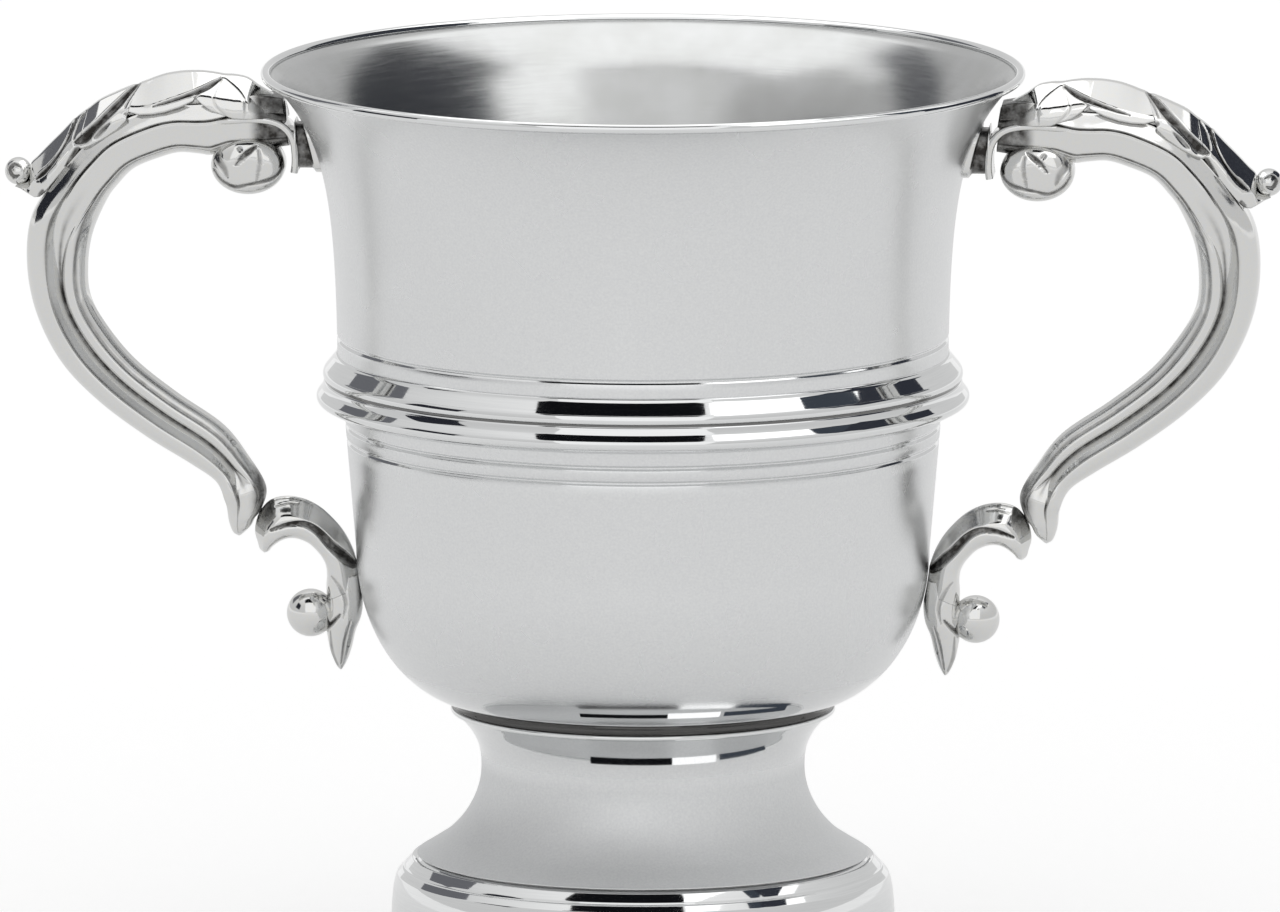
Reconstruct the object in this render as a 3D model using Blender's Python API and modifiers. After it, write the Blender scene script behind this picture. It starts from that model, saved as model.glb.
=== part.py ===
# Pewter trophy cup: a flared drum over a round bowl, a hollow stem and foot, two cast handles
# Lengths are metres. The cup stands on z = 0 round the Z axis, and its handles lie along X.

import math

import bmesh
import bpy
from mathutils import Vector

MM = 0.001

# How pieces meet
GAP = 0.3 * MM            # solder line between two pieces that touch
SEGMENTS = 48             # flats round each turned piece

# Heights, stacked from the table
FOOT_RING_HEIGHT = 8.7 * MM
FOOT_STEP_HEIGHT = 10.6 * MM
STEM_HEIGHT = 24.7 * MM
BOWL_LIFT = 1.6 * MM      # lowest point of the bowl above the end of the stem
BOWL_HEIGHT = 51.8 * MM
DRUM_HEIGHT = 53.3 * MM

# Radii and walls
WAIST_RADIUS = 50.6 * MM  # drum where it is narrowest
FLARE = 12.1 * MM         # how far the lip stands out beyond the waist
FLARE_LENGTH = 11.0 * MM  # height over which the flare dies away
BOWL_INSET = 0.7 * MM     # bowl wall inside the drum at their joint
BOWL_TAPER = 0.085        # radius lost per unit of height down the bowl wall
BOWL_FLAT_RADIUS = 28.6 * MM  # under which the bottom is nearly flat
BOWL_CURVE = 25.8 * MM    # height of the rounded bottom
BOWL_SQUARENESS = 2.0     # 2 is an ellipse, more is squarer
COLLAR_OVERHANG = 0.5 * MM  # middle of the collar's bead outside the end of the stem
COLLAR_BEAD = 1.5 * MM
STEM_TOP_RADIUS = 30.5 * MM
STEM_NECK_RADIUS = 26.9 * MM
STEM_FOOT_RADIUS = 37.7 * MM
STEM_NECK_SHARE = 0.652   # height of the neck in the stem
FOOT_STEP_RADIUS = 42.1 * MM
FOOT_RING_RADIUS = 47.2 * MM
WIRE_RADIUS = 0.8 * MM
BODY_WALL = 1.6 * MM
FOOT_WALL = 2.0 * MM

# Where each handle is soldered on
SOCKET_DROP = 8.5 * MM    # top of the socket below the lip
SOCKET_EDGE = 1.1 * MM    # thickness of the socket at its top
BRACKET_SHARE = 0.4286    # height of the lower contact in the bowl

# Levels that follow from the sizes above
STEP_BASE = FOOT_RING_HEIGHT + GAP
STEM_BASE = STEP_BASE + FOOT_STEP_HEIGHT + GAP
STEM_TOP = STEM_BASE + STEM_HEIGHT
BOWL_BASE = STEM_TOP + BOWL_LIFT
JOINT = BOWL_BASE + BOWL_HEIGHT
LIP = JOINT + GAP + DRUM_HEIGHT
BOWL_WALL_BASE = BOWL_BASE + BOWL_CURVE
BOWL_RADIUS = WAIST_RADIUS - BOWL_INSET
COLLAR_RADIUS = STEM_TOP_RADIUS + COLLAR_OVERHANG


for leftover in list(bpy.data.objects):
    bpy.data.objects.remove(leftover, do_unlink=True)

cup = bpy.data.collections.new("pewter_trophy_cup")
bpy.context.scene.collection.children.link(cup)


# Materials

def metal(name, colour, roughness):
    """One metal surface."""
    material = bpy.data.materials.new(name)
    material.use_nodes = True
    shader = material.node_tree.nodes["Principled BSDF"]
    shader.inputs["Base Color"].default_value = (*colour, 1.0)
    shader.inputs["Metallic"].default_value = 1.0
    shader.inputs["Roughness"].default_value = roughness
    material.diffuse_color = (*colour, 1.0)
    return material


# Spun surfaces have a fine satin sheen
satin_pewter = metal("satin_pewter", (0.66, 0.67, 0.68), 0.30)
# Turned mouldings and rims are buffed bright
polished_pewter = metal("polished_pewter", (0.70, 0.71, 0.71), 0.10)
# Cast handles are buffed, with a slightly softer gloss
cast_pewter = metal("cast_pewter", (0.68, 0.69, 0.70), 0.14)


# Making solids

def add_piece(name, mesh, material):
    """Put a named piece in the cup."""
    mesh.materials.append(material)
    piece = bpy.data.objects.new(name, mesh)
    cup.objects.link(piece)
    return piece


def turned(name, outline, material, closed=True):
    """Spin an outline of radii and heights, which runs down its outer side, round the axis."""
    mesh = bpy.data.meshes.new(name)
    points = [(radius, 0.0, height) for radius, height in outline]
    edges = [(i, i + 1) for i in range(len(points) - 1)]
    if closed:
        edges.append((len(points) - 1, 0))
    mesh.from_pydata(points, edges, [])
    piece = add_piece(name, mesh, material)
    screw = piece.modifiers.new("Turn", "SCREW")
    screw.axis = "Z"
    screw.angle = 2.0 * math.pi
    screw.screw_offset = 0.0
    screw.steps = SEGMENTS
    screw.render_steps = SEGMENTS
    screw.use_merge_vertices = True
    screw.merge_threshold = 0.00001
    screw.use_smooth_shade = True
    return piece


def loft(name, rings, material, ends=None):
    """Join equal rings of points into one closed skin. Its ends are flat, or fans round two points."""
    build = bmesh.new()
    rows = []
    for ring in rings:
        rows.append([build.verts.new(point) for point in ring])
    count = len(rings[0])
    for row, following in zip(rows, rows[1:]):
        for i in range(count):
            j = (i + 1) % count
            build.faces.new((row[i], row[j], following[j], following[i]))
    if ends is None:
        build.faces.new(rows[0])
        build.faces.new(rows[-1])
    else:
        for row, end in zip((rows[0], rows[-1]), ends):
            middle = build.verts.new(end)
            for i in range(count):
                build.faces.new((row[i], row[(i + 1) % count], middle))
    build.normal_update()
    bmesh.ops.recalc_face_normals(build, faces=build.faces)
    for face in build.faces:
        face.smooth = True
    mesh = bpy.data.meshes.new(name)
    build.to_mesh(mesh)
    build.free()
    return add_piece(name, mesh, material)


def ball(name, centre, radii, material):
    """A closed ball with its poles along Y."""
    build = bmesh.new()
    bmesh.ops.create_uvsphere(build, u_segments=14, v_segments=9, radius=1.0)
    for vertex in build.verts:
        x, y, z = vertex.co
        vertex.co = centre + Vector((x * radii[0], z * radii[1], y * radii[2]))
    build.normal_update()
    bmesh.ops.recalc_face_normals(build, faces=build.faces)
    for face in build.faces:
        face.smooth = True
    mesh = bpy.data.meshes.new(name)
    build.to_mesh(mesh)
    build.free()
    return add_piece(name, mesh, material)


def along(rows, place):
    """Values at a place between numbered rows, on a smooth curve through all of them."""
    first = max(0, min(int(place), len(rows) - 2))
    share = place - first
    before = rows[max(first - 1, 0)]
    after = rows[min(first + 2, len(rows) - 1)]
    values = []
    for a, b, c, d in zip(before, rows[first], rows[first + 1], after):
        slope = c - a
        bend = 2.0 * a - 5.0 * b + 4.0 * c - d
        twist = 3.0 * b - a - 3.0 * c + d
        values.append(b + 0.5 * share * (slope + share * (bend + share * twist)))
    return values


def shell(outline, wall):
    """Close an outer outline with an inner one that is a wall thinner, square at both ends."""
    inner = []
    last = len(outline) - 1
    for i, (radius, height) in enumerate(outline):
        if i in (0, last):
            neighbour = outline[1] if i == 0 else outline[last - 1]
            run = radius - neighbour[0]
            rise = height - neighbour[1]
            inner.append((radius - wall * math.hypot(run, rise) / abs(rise), height))
            continue
        run = outline[i + 1][0] - outline[i - 1][0]
        rise = outline[i + 1][1] - outline[i - 1][1]
        length = math.hypot(run, rise)
        inner.append((radius + wall * rise / length, height - wall * run / length))
    return list(outline) + inner[::-1]


# Outside of the body, which the rings and handles sit on

def drum_radius(height):
    """Outer radius of the flared drum."""
    return WAIST_RADIUS + FLARE * math.exp((height - LIP) / FLARE_LENGTH)


def bowl_radius(height):
    """Outer radius of the bowl, a tapered wall over a rounded bottom."""
    if height >= BOWL_WALL_BASE:
        return BOWL_RADIUS - BOWL_TAPER * (JOINT - height)
    wide = BOWL_RADIUS - BOWL_TAPER * (JOINT - BOWL_WALL_BASE)
    flat = BOWL_FLAT_RADIUS
    share = min(1.0, (BOWL_WALL_BASE - height) / BOWL_CURVE)
    return flat + (wide - flat) * (1.0 - share ** BOWL_SQUARENESS) ** (1.0 / BOWL_SQUARENESS)


def bowl_underside(radius):
    """Height of the bowl's outer surface under the flat part and the start of its curve."""
    wide = BOWL_RADIUS - BOWL_TAPER * (JOINT - BOWL_WALL_BASE)
    flat = BOWL_FLAT_RADIUS
    share = max(0.0, (radius - flat) / (wide - flat))
    drop = (1.0 - share ** BOWL_SQUARENESS) ** (1.0 / BOWL_SQUARENESS)
    return BOWL_WALL_BASE - BOWL_CURVE * drop


def outer_radius(height):
    """Outer radius of the drum or bowl at any height."""
    if height > JOINT:
        return drum_radius(height)
    return bowl_radius(height)


# Turned body, from the lip down

def rim_wire():
    """Round wire on the lip."""
    sides = 10
    outline = []
    for i in range(sides):
        angle = 0.5 * math.pi - 2.0 * math.pi * i / sides
        radius = WAIST_RADIUS + FLARE + WIRE_RADIUS * math.cos(angle)
        outline.append((radius, LIP + WIRE_RADIUS * math.sin(angle)))
    turned("rim_wire", outline, polished_pewter)


def upper_body():
    """Flared drum, open at both ends, with one turned line above the girdle."""
    top = LIP - WIRE_RADIUS
    line_height = JOINT + 9.5 * MM
    line_half = 0.35 * MM
    line_depth = 0.25 * MM
    steps = 9
    outline = []
    for i in range(steps + 1):
        share = (i / steps) ** 1.5
        height = top - (top - line_height - 2.0 * MM) * share
        outline.append((drum_radius(height), height))
    outline.append((drum_radius(line_height), line_height + line_half))
    outline.append((drum_radius(line_height) - line_depth, line_height))
    outline.append((drum_radius(line_height), line_height - line_half))
    outline.append((drum_radius(JOINT), JOINT + GAP))
    inner = shell([outline[i] for i in (0, 1, 2, 3, 5, 7, 9, 13)], BODY_WALL)[8:]
    turned("upper_body", outline + inner, satin_pewter)


def girdle_band():
    """Moulded ring over the joint: a hollow and a round above a groove and a bead."""
    waist = WAIST_RADIUS
    top = JOINT + 6.8 * MM
    outline = [(drum_radius(top) + GAP + 0.2 * MM, top)]
    steps = ((0.75, 5.7), (1.25, 4.9), (2.3, 4.1), (3.1, 3.3), (3.4, 2.4), (3.0, 2.05))
    for out, up in steps:
        outline.append((waist + out * MM, JOINT + up * MM))
    bead = 2.1 * MM
    bead_radius = waist + 1.6 * MM
    bead_height = JOINT + 0.1 * MM
    for degrees in (62, 35, 10, -15, -40, -65, -88):
        angle = math.radians(degrees)
        radius = bead_radius + bead * math.cos(angle)
        outline.append((radius, bead_height + bead * math.sin(angle)))
    bottom = JOINT - 2.2 * MM
    outline.append((outer_radius(bottom) + GAP, bottom))
    outline.append((outer_radius(JOINT) + GAP, JOINT))
    outline.append((drum_radius(JOINT) + GAP, JOINT + 0.5 * GAP))
    outline.append((drum_radius(top) + GAP, top))
    turned("girdle_band", outline, polished_pewter)


def lower_bowl():
    """Round-bottomed bowl with two turned lines below the girdle."""
    line_half = 0.4 * MM
    line_depth = 0.35 * MM
    outline = [(bowl_radius(JOINT), JOINT)]
    for down in (5.2 * MM, 7.9 * MM):
        height = JOINT - down
        outline.append((bowl_radius(height), height + line_half))
        outline.append((bowl_radius(height) - line_depth, height))
        outline.append((bowl_radius(height), height - line_half))
    outline.append((bowl_radius(BOWL_WALL_BASE), BOWL_WALL_BASE))
    steps = 9
    wide = bowl_radius(BOWL_WALL_BASE)
    flat = BOWL_FLAT_RADIUS
    power = 2.0 / BOWL_SQUARENESS
    for i in range(1, steps + 1):
        angle = 0.5 * math.pi * i / steps
        radius = flat + (wide - flat) * abs(math.cos(angle)) ** power
        outline.append((radius, BOWL_WALL_BASE - BOWL_CURVE * math.sin(angle) ** power))
    outline.append((0.0, BOWL_BASE))

    inner = [(0.0, BOWL_BASE + BODY_WALL)]
    for i in range(steps, -1, -1):
        angle = 0.5 * math.pi * i / steps
        radius = flat + (wide - flat - BODY_WALL) * abs(math.cos(angle)) ** power
        rise = (BOWL_CURVE - BODY_WALL) * math.sin(angle) ** power
        inner.append((radius, BOWL_WALL_BASE - rise))
    inner.append((bowl_radius(JOINT) - BODY_WALL, JOINT))
    turned("lower_bowl", inner + outline, satin_pewter, closed=False)


def bowl_collar():
    """Bead between the end of the stem and the underside of the bowl."""
    base = STEM_TOP + GAP
    centre = base + COLLAR_BEAD
    inside = STEM_TOP_RADIUS - FOOT_WALL
    outline = []
    for degrees in (12, -10, -35, -60, -88):
        angle = math.radians(degrees)
        radius = COLLAR_RADIUS + COLLAR_BEAD * math.cos(angle)
        height = centre + COLLAR_BEAD * math.sin(angle)
        height = min(height, bowl_underside(radius) - GAP)
        outline.append((radius, height))
    outline.append((inside, base))
    outline.append((inside, bowl_underside(inside) - GAP))
    middle = 0.5 * (inside + outline[0][0])
    outline.append((middle, bowl_underside(middle) - GAP))
    turned("bowl_collar", outline, polished_pewter)


def stem():
    """Hollow waisted pedestal, a quarter of an ellipse above its neck and one below."""
    sweep = 0.955
    full = 1.0 - math.sqrt(1.0 - sweep ** 2)
    neck = STEM_BASE + STEM_NECK_SHARE * STEM_HEIGHT
    outline = []
    for i in range(5):
        share = 1.0 - i / 5
        out = (1.0 - math.sqrt(1.0 - (sweep * share) ** 2)) / full
        radius = STEM_NECK_RADIUS + (STEM_TOP_RADIUS - STEM_NECK_RADIUS) * out
        outline.append((radius, neck + (STEM_TOP - neck) * share))
    for i in range(7):
        share = (i / 6) ** 0.8
        out = (1.0 - math.sqrt(1.0 - (sweep * share) ** 2)) / full
        radius = STEM_NECK_RADIUS + (STEM_FOOT_RADIUS - STEM_NECK_RADIUS) * out
        outline.append((radius, neck - (neck - STEM_BASE) * share))
    inner = [(STEM_TOP_RADIUS - FOOT_WALL, STEM_TOP)]
    inner += [(radius - FOOT_WALL, height) for radius, height in outline[1:9:2]]
    inner += [(outline[-2][0] - FOOT_WALL - 1.4 * MM, outline[-2][1])]
    inner += [(outline[-1][0] - FOOT_WALL - 2.0 * MM, outline[-1][1])]
    turned("stem", outline + inner[::-1], satin_pewter)


def foot_step():
    """Rounded shoulder that steps out from the stem."""
    round_radius = 5.0 * MM
    top = STEP_BASE + FOOT_STEP_HEIGHT
    centre_radius = FOOT_STEP_RADIUS - 5.6 * MM
    centre = top - 4.95 * MM
    outline = []
    for degrees in (82, 62, 42, 22, 0):
        angle = math.radians(degrees)
        radius = centre_radius + round_radius * math.cos(angle)
        outline.append((radius, centre + round_radius * math.sin(angle)))
    outline.append((FOOT_STEP_RADIUS, STEP_BASE))
    outline.append((FOOT_STEP_RADIUS - FOOT_WALL, STEP_BASE))
    hollow = round_radius - FOOT_WALL
    for degrees in (0, 35, 70):
        angle = math.radians(degrees)
        radius = centre_radius + hollow * math.cos(angle)
        outline.append((radius, centre + hollow * math.sin(angle)))
    inside = STEM_FOOT_RADIUS - FOOT_WALL - 2.0 * MM
    outline.append((inside, top - FOOT_WALL))
    outline.append((inside, top))
    turned("foot_step", outline, polished_pewter)


def foot_ring():
    """Spreading base ring, a hollow above a rounded edge, open underneath."""
    outer = FOOT_RING_RADIUS
    step = FOOT_STEP_RADIUS + 0.2 * MM
    top = FOOT_RING_HEIGHT
    outline = [
        (step, top),
        (step + 0.15 * (outer - step), 0.80 * top),
        (step + 0.42 * (outer - step), 0.66 * top),
        (step + 0.76 * (outer - step), 0.58 * top),
        (step + 0.95 * (outer - step), 0.44 * top),
        (outer, 0.28 * top),
        (outer, 0.09 * top),
        (outer - 0.8 * MM, 0.0),
        (outer - 3.8 * MM, 0.0),
        (outer - 4.2 * MM, 0.16 * top),
        (FOOT_STEP_RADIUS - FOOT_WALL, 0.72 * top),
        (FOOT_STEP_RADIUS - FOOT_WALL, top),
    ]
    turned("foot_ring", outline, polished_pewter)


# Handles
# Each outline point is drawn as millimetres of reach from the axis and of height on the cup of
# nominal size. The drawing is then placed and scaled between the socket and the lower contact.

DRAWN_FACE = 57.6         # reach of the socket's outer face
DRAWN_SOCKET_TOP = 143.1
DRAWN_CONTACT = 68.4      # height where the lower scroll touches the bowl
DRAWN_CONTACT_REACH = 47.95
DRAWN_BRACKET_END = 64.9

SOCKET_TOP = LIP - SOCKET_DROP
CONTACT = BOWL_BASE + BRACKET_SHARE * BOWL_HEIGHT
HANDLE_SCALE = (SOCKET_TOP - CONTACT) / ((DRAWN_SOCKET_TOP - DRAWN_CONTACT) * MM)
FACE = drum_radius(SOCKET_TOP) + GAP + SOCKET_EDGE
CONTACT_REACH = outer_radius(CONTACT) + GAP

# Arm: outer edge and inner edge of each station, then half its depth
ARM = (
    (59.8, 147.6, 57.8, 143.5, 3.5),
    (63.0, 147.9, 63.0, 143.5, 3.6),
    (66.2, 147.7, 66.2, 143.3, 3.8),
    (69.2, 147.2, 69.2, 142.2, 4.0),
    (71.7, 146.8, 71.9, 139.4, 4.1),
    (74.0, 146.5, 73.8, 137.9, 4.2),
    (78.4, 146.3, 77.1, 137.7, 4.2),
    (82.9, 145.2, 80.4, 136.8, 4.2),
    (89.6, 142.1, 84.6, 135.0, 4.3),
    (93.9, 138.2, 87.4, 132.2, 4.3),
    (97.9, 133.2, 89.3, 129.5, 4.4),
    (101.8, 126.9, 91.6, 124.1, 4.5),
    (102.6, 118.7, 92.4, 118.7, 4.5),
    (101.0, 110.4, 91.9, 113.3, 4.4),
    (96.9, 102.3, 88.9, 108.0, 4.3),
    (90.7, 95.8, 84.3, 102.6, 4.3),
    (82.9, 90.0, 77.6, 97.3, 4.2),
    (75.4, 85.4, 69.9, 92.0, 4.0),
    (71.2, 82.5, 65.6, 86.6, 3.8),
    (69.5, 79.3, 62.8, 81.6, 3.7),
    (69.1, 76.4, 63.5, 78.0, 3.6),
    (68.6, 74.6, 64.8, 76.4, 3.3),
    (67.8, 73.6, 66.2, 75.0, 2.6),
)
ARM_STATIONS = 34

# Arm section, from its outer edge down one flank: a round back, a crease, a flute, a rib
ARM_SECTION = (
    (1.00, 0.00),
    (0.93, 0.38),
    (0.75, 0.72),
    (0.45, 0.94),
    (0.12, 1.00),
    (-0.04, 0.80),
    (-0.24, 0.72),
    (-0.42, 0.86),
    (-0.60, 0.80),
    (-0.86, 0.46),
    (-1.00, 0.00),
)

# Leaf: place along the arm, height of its crest above the arm, how far its edge hangs down the
# flank from the arm's outer edge (0) to its middle (1), and width of the edge beyond the arm
LEAF = (
    (0.9, 1.2, 1.10, 0.5),
    (1.5, 2.3, 1.50, 0.8),
    (2.2, 3.1, 1.80, 1.1),
    (3.0, 3.4, 1.40, 1.2),
    (3.4, 3.2, 0.80, 0.8),
    (4.2, 4.3, 0.40, 0.9),
    (5.1, 4.8, 0.45, 1.2),
    (6.0, 4.7, 0.60, 1.4),
    (6.8, 4.5, 0.70, 1.4),
    (7.3, 3.9, 0.45, 0.9),
    (7.8, 4.2, 0.35, 1.0),
    (8.3, 4.4, 0.50, 1.3),
    (8.8, 4.3, 0.70, 1.4),
    (9.1, 3.8, 0.45, 0.9),
    (9.5, 4.3, 0.40, 1.0),
    (9.95, 3.9, 0.50, 1.2),
    (10.2, 2.7, 0.45, 1.0),
    (10.5, 1.4, 0.30, 0.6),
)

# Lower scroll: edge that turns to the cup, edge inside the curl, half the depth
BRACKET = (
    (64.9, 72.6, 63.2, 70.8, 2.2),
    (64.55, 75.3, 61.6, 71.9, 3.0),
    (62.95, 78.1, 60.0, 72.6, 3.3),
    (60.5, 79.6, 58.6, 72.8, 3.4),
    (57.6, 79.8, 57.2, 72.6, 3.4),
    (54.4, 78.8, 55.6, 71.9, 3.4),
    (51.5, 76.4, 54.2, 70.6, 3.4),
    (49.4, 73.4, 53.3, 69.0, 3.3),
    (48.0, 70.2, 52.9, 67.4, 3.2),
    (47.8, 66.8, 52.9, 66.0, 3.0),
    (48.7, 64.2, 52.9, 64.8, 2.8),
    (50.0, 62.5, 52.8, 63.7, 2.5),
)
BRACKET_STATIONS = 18

# Tail: edge towards the cup, edge away from it, half the depth
TAIL = (
    (47.9, 62.7, 50.3, 62.1, 2.2),
    (47.3, 60.2, 51.0, 59.7, 2.8),
    (47.9, 57.2, 52.4, 56.6, 2.8),
    (48.5, 55.0, 52.3, 54.2, 2.3),
    (49.4, 52.8, 51.6, 52.2, 1.5),
    (50.1, 51.2, 50.7, 51.0, 0.5),
)

BALL = (55.3, 60.3, 4.0)
TIP_BEAD = (104.15, 134.3, 2.2)
VOLUTE = (64.3, 136.5)    # centre of the rolled strip
VOLUTE_RADIUS = 6.5
VOLUTE_STRETCH = 1.20     # width of the scroll against its height
VOLUTE_TURNS = 1.9
VOLUTE_STRIP = 0.9        # half the strip's thickness


def handle_point(side, reach, height, depth=0.0):
    """Point of the arm's drawing on the cup. Side is 1 for the right handle, -1 for the left."""
    x = FACE + HANDLE_SCALE * (reach - DRAWN_FACE) * MM
    z = CONTACT + HANDLE_SCALE * (height - DRAWN_CONTACT) * MM
    x = max(x, outer_radius(z) + 1.5 * GAP)
    return Vector((side * x, HANDLE_SCALE * depth * MM, z))


def bracket_point(side, reach, height, depth=0.0):
    """Point of the lower scroll, stretched between the bowl and the end of the arm."""
    far = FACE + HANDLE_SCALE * (DRAWN_BRACKET_END - DRAWN_FACE) * MM
    share = (reach - DRAWN_CONTACT_REACH) / (DRAWN_BRACKET_END - DRAWN_CONTACT_REACH)
    x = CONTACT_REACH + share * (far - CONTACT_REACH)
    z = CONTACT + HANDLE_SCALE * (height - DRAWN_CONTACT) * MM
    x = max(x, outer_radius(z) + GAP)
    return Vector((side * x, HANDLE_SCALE * depth * MM, z))


def railed_ring(place_point, side, station, section):
    """Ring of points of a section that is stretched between the two edges of a station."""
    outer_x, outer_z, inner_x, inner_z, half_depth = station
    flank = []
    for u, v in section:
        reach = 0.5 * (outer_x + inner_x) + 0.5 * u * (outer_x - inner_x)
        height = 0.5 * (outer_z + inner_z) + 0.5 * u * (outer_z - inner_z)
        flank.append((reach, height, v * half_depth))
    ring = [place_point(side, *point) for point in flank]
    for reach, height, depth in flank[-2:0:-1]:
        ring.append(place_point(side, reach, height, -depth))
    return ring


def spaced(rows, count):
    """Evenly numbered places from the first row to the last."""
    return [(len(rows) - 1) * i / (count - 1) for i in range(count)]


def handle_arm(prefix, side):
    """S-scroll arm from the socket over the shoulder to the hoof."""
    rings = []
    for place in spaced(ARM, ARM_STATIONS):
        rings.append(railed_ring(handle_point, side, along(ARM, place), ARM_SECTION))
    loft(prefix + "handle_arm", rings, cast_pewter)


def flank_depth(share):
    """Half depth of the arm's round back at a share of its half width, full below the crease."""
    for (high, narrow), (low, wide) in zip(ARM_SECTION[:4], ARM_SECTION[1:5]):
        if low <= share <= high:
            return narrow + (wide - narrow) * (high - share) / (high - low)
    return 1.0


def leaf_ring(side, row):
    """Ring of points round the leaf at one place: its outside, then its seat on the arm."""
    place, crest, hang, brim = row
    outer_x, outer_z, inner_x, inner_z, half_depth = along(ARM, place)
    middle = Vector((0.5 * (outer_x + inner_x), 0.5 * (outer_z + inner_z)))
    outward = Vector((outer_x - inner_x, outer_z - inner_z))
    half_width = 0.5 * outward.length
    outward.normalize()
    gap = 1.5 * GAP / MM / HANDLE_SCALE
    edge = half_width * (1.0 - hang)
    top = half_width + gap + crest
    edge_depth = half_depth * flank_depth(edge / half_width) + gap
    brim_depth = edge_depth + brim
    half = [
        (top, 0.0),
        (top - 0.12 * crest, 0.30 * brim_depth),
        (top - 0.42 * crest, 0.62 * brim_depth),
        (edge + 0.55 * (top - edge), 0.88 * brim_depth),
        (edge + 0.20 * (top - edge), brim_depth),
        (edge, edge_depth + 0.5 * brim),
        (edge, edge_depth),
    ]
    for share in (0.35, 0.62, 0.82, 0.94):
        across = edge + (half_width - edge) * share
        depth = half_depth * flank_depth(across / half_width) + gap
        half.append((across + gap * share, depth))
    half.append((half_width + gap, 0.0))
    ring = []
    for across, depth in half:
        spot = middle + outward * across
        ring.append(handle_point(side, spot.x, spot.y, depth))
    for across, depth in half[-2:0:-1]:
        spot = middle + outward * across
        ring.append(handle_point(side, spot.x, spot.y, -depth))
    return ring


def handle_leaf(prefix, side):
    """Acanthus leaf of overlapping lobes, seated on the back of the arm."""
    loft(prefix + "handle_leaf", [leaf_ring(side, row) for row in LEAF], cast_pewter)


def handle_tip_bead(prefix, side):
    """Rolled tip of the leaf."""
    reach, height, radius = TIP_BEAD
    size = radius * HANDLE_SCALE * MM
    centre = handle_point(side, reach, height)
    ball(prefix + "handle_tip_bead", centre, (size, 1.15 * size, size), cast_pewter)


def handle_volute(prefix, side):
    """Strip rolled into a scroll under the root of the arm."""
    stations = 30
    start = VOLUTE_RADIUS - VOLUTE_STRIP
    end = 0.85
    rings = []
    for i in range(stations):
        share = i / (stations - 1)
        angle = 0.5 * math.pi - 2.0 * math.pi * VOLUTE_TURNS * share
        radius = start + (end - start) * share ** 1.25
        strip = VOLUTE_STRIP * (1.0 - 0.25 * share)
        depth = 3.9 + 0.7 * share
        ring = []
        corners = ((1.0, 0.6), (0.5, 1.0), (-0.5, 1.0), (-1.0, 0.6))
        for out, deep in corners + tuple((out, -deep) for out, deep in corners[::-1]):
            reach = VOLUTE[0] + VOLUTE_STRETCH * (radius + out * strip) * math.cos(angle)
            height = VOLUTE[1] + (radius + out * strip) * math.sin(angle)
            ring.append(handle_point(side, reach, height, deep * depth))
        rings.append(ring)
    loft(prefix + "handle_volute", rings, cast_pewter)


def handle_socket(prefix, side):
    """Ribbed mount whose back follows the flare of the drum and whose face is flat."""
    half_height = 4.4 * MM * HANDLE_SCALE
    half_depth = 4.3 * MM * HANDLE_SCALE
    centre = SOCKET_TOP - half_height
    corner = 16
    ribs = ((0.0, 1.10), (0.26, 1.10), (0.34, 0.94), (0.54, 0.94), (0.62, 1.04), (0.86, 1.04), (1.0, 0.94))
    rings = []
    for share, swell in ribs:
        ring = []
        for i in range(corner):
            angle = 2.0 * math.pi * (i + 0.5) / corner
            depth = half_depth * swell * math.copysign(abs(math.cos(angle)) ** 0.6, math.cos(angle))
            height = centre + half_height * math.copysign(abs(math.sin(angle)) ** 0.6, math.sin(angle))
            back = math.sqrt((drum_radius(height) + GAP) ** 2 - depth ** 2)
            ring.append(Vector((side * (back + share * (FACE - back)), depth, height)))
        rings.append(ring)
    back = Vector((side * (drum_radius(centre) + GAP), 0.0, centre))
    front = Vector((side * FACE, 0.0, centre))
    loft(prefix + "handle_socket", rings, cast_pewter, (back, front))


SCROLL_SECTION = (
    (1.0, 0.0),
    (0.9, 0.6),
    (0.6, 1.0),
    (0.1, 0.82),
    (-0.4, 0.9),
    (-0.85, 0.6),
    (-1.0, 0.0),
)


def bracket_scroll(prefix, side):
    """Small scroll that rises from the hoof, turns over and comes down the bowl."""
    rings = []
    for place in spaced(BRACKET, BRACKET_STATIONS):
        rings.append(railed_ring(bracket_point, side, along(BRACKET, place), SCROLL_SECTION))
    loft(prefix + "bracket_scroll", rings, cast_pewter)


def bracket_ball(prefix, side):
    """Ball held in the curl of the lower scroll."""
    reach, height, radius = BALL
    size = radius * HANDLE_SCALE * MM
    ball(prefix + "bracket_ball", bracket_point(side, reach, height), (size, size, size), cast_pewter)


def bracket_tail(prefix, side):
    """Pointed leaf that hangs under the lower scroll."""
    rings = []
    for place in spaced(TAIL, 9):
        rings.append(railed_ring(bracket_point, side, along(TAIL, place), SCROLL_SECTION))
    loft(prefix + "bracket_tail", rings, cast_pewter)


rim_wire()
upper_body()
girdle_band()
lower_bowl()
bowl_collar()
stem()
foot_step()
foot_ring()

for prefix, side in (("left_", -1), ("right_", 1)):
    handle_arm(prefix, side)
    handle_volute(prefix, side)
    handle_leaf(prefix, side)
    handle_tip_bead(prefix, side)
    handle_socket(prefix, side)
    bracket_scroll(prefix, side)
    bracket_ball(prefix, side)
    bracket_tail(prefix, side)
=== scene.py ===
# %% [markdown]
# # A pewter trophy cup with two cast scroll handles
#
# A silversmith makes this cup from separate parts. The drum, bowl and stem are spun from
# sheet, the mouldings are turned rings, the handles are castings, and solder joins them all.
# This lesson makes each part in the same way: turned parts from an outline that a small
# Geometry Nodes lathe spins, and cast parts from sections that follow a drawing.
#
# The imported model comes first. Every piece below takes the place of one of its nodes, and cad_box keeps
# its size.

# %% Load the imported model
import math

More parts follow.
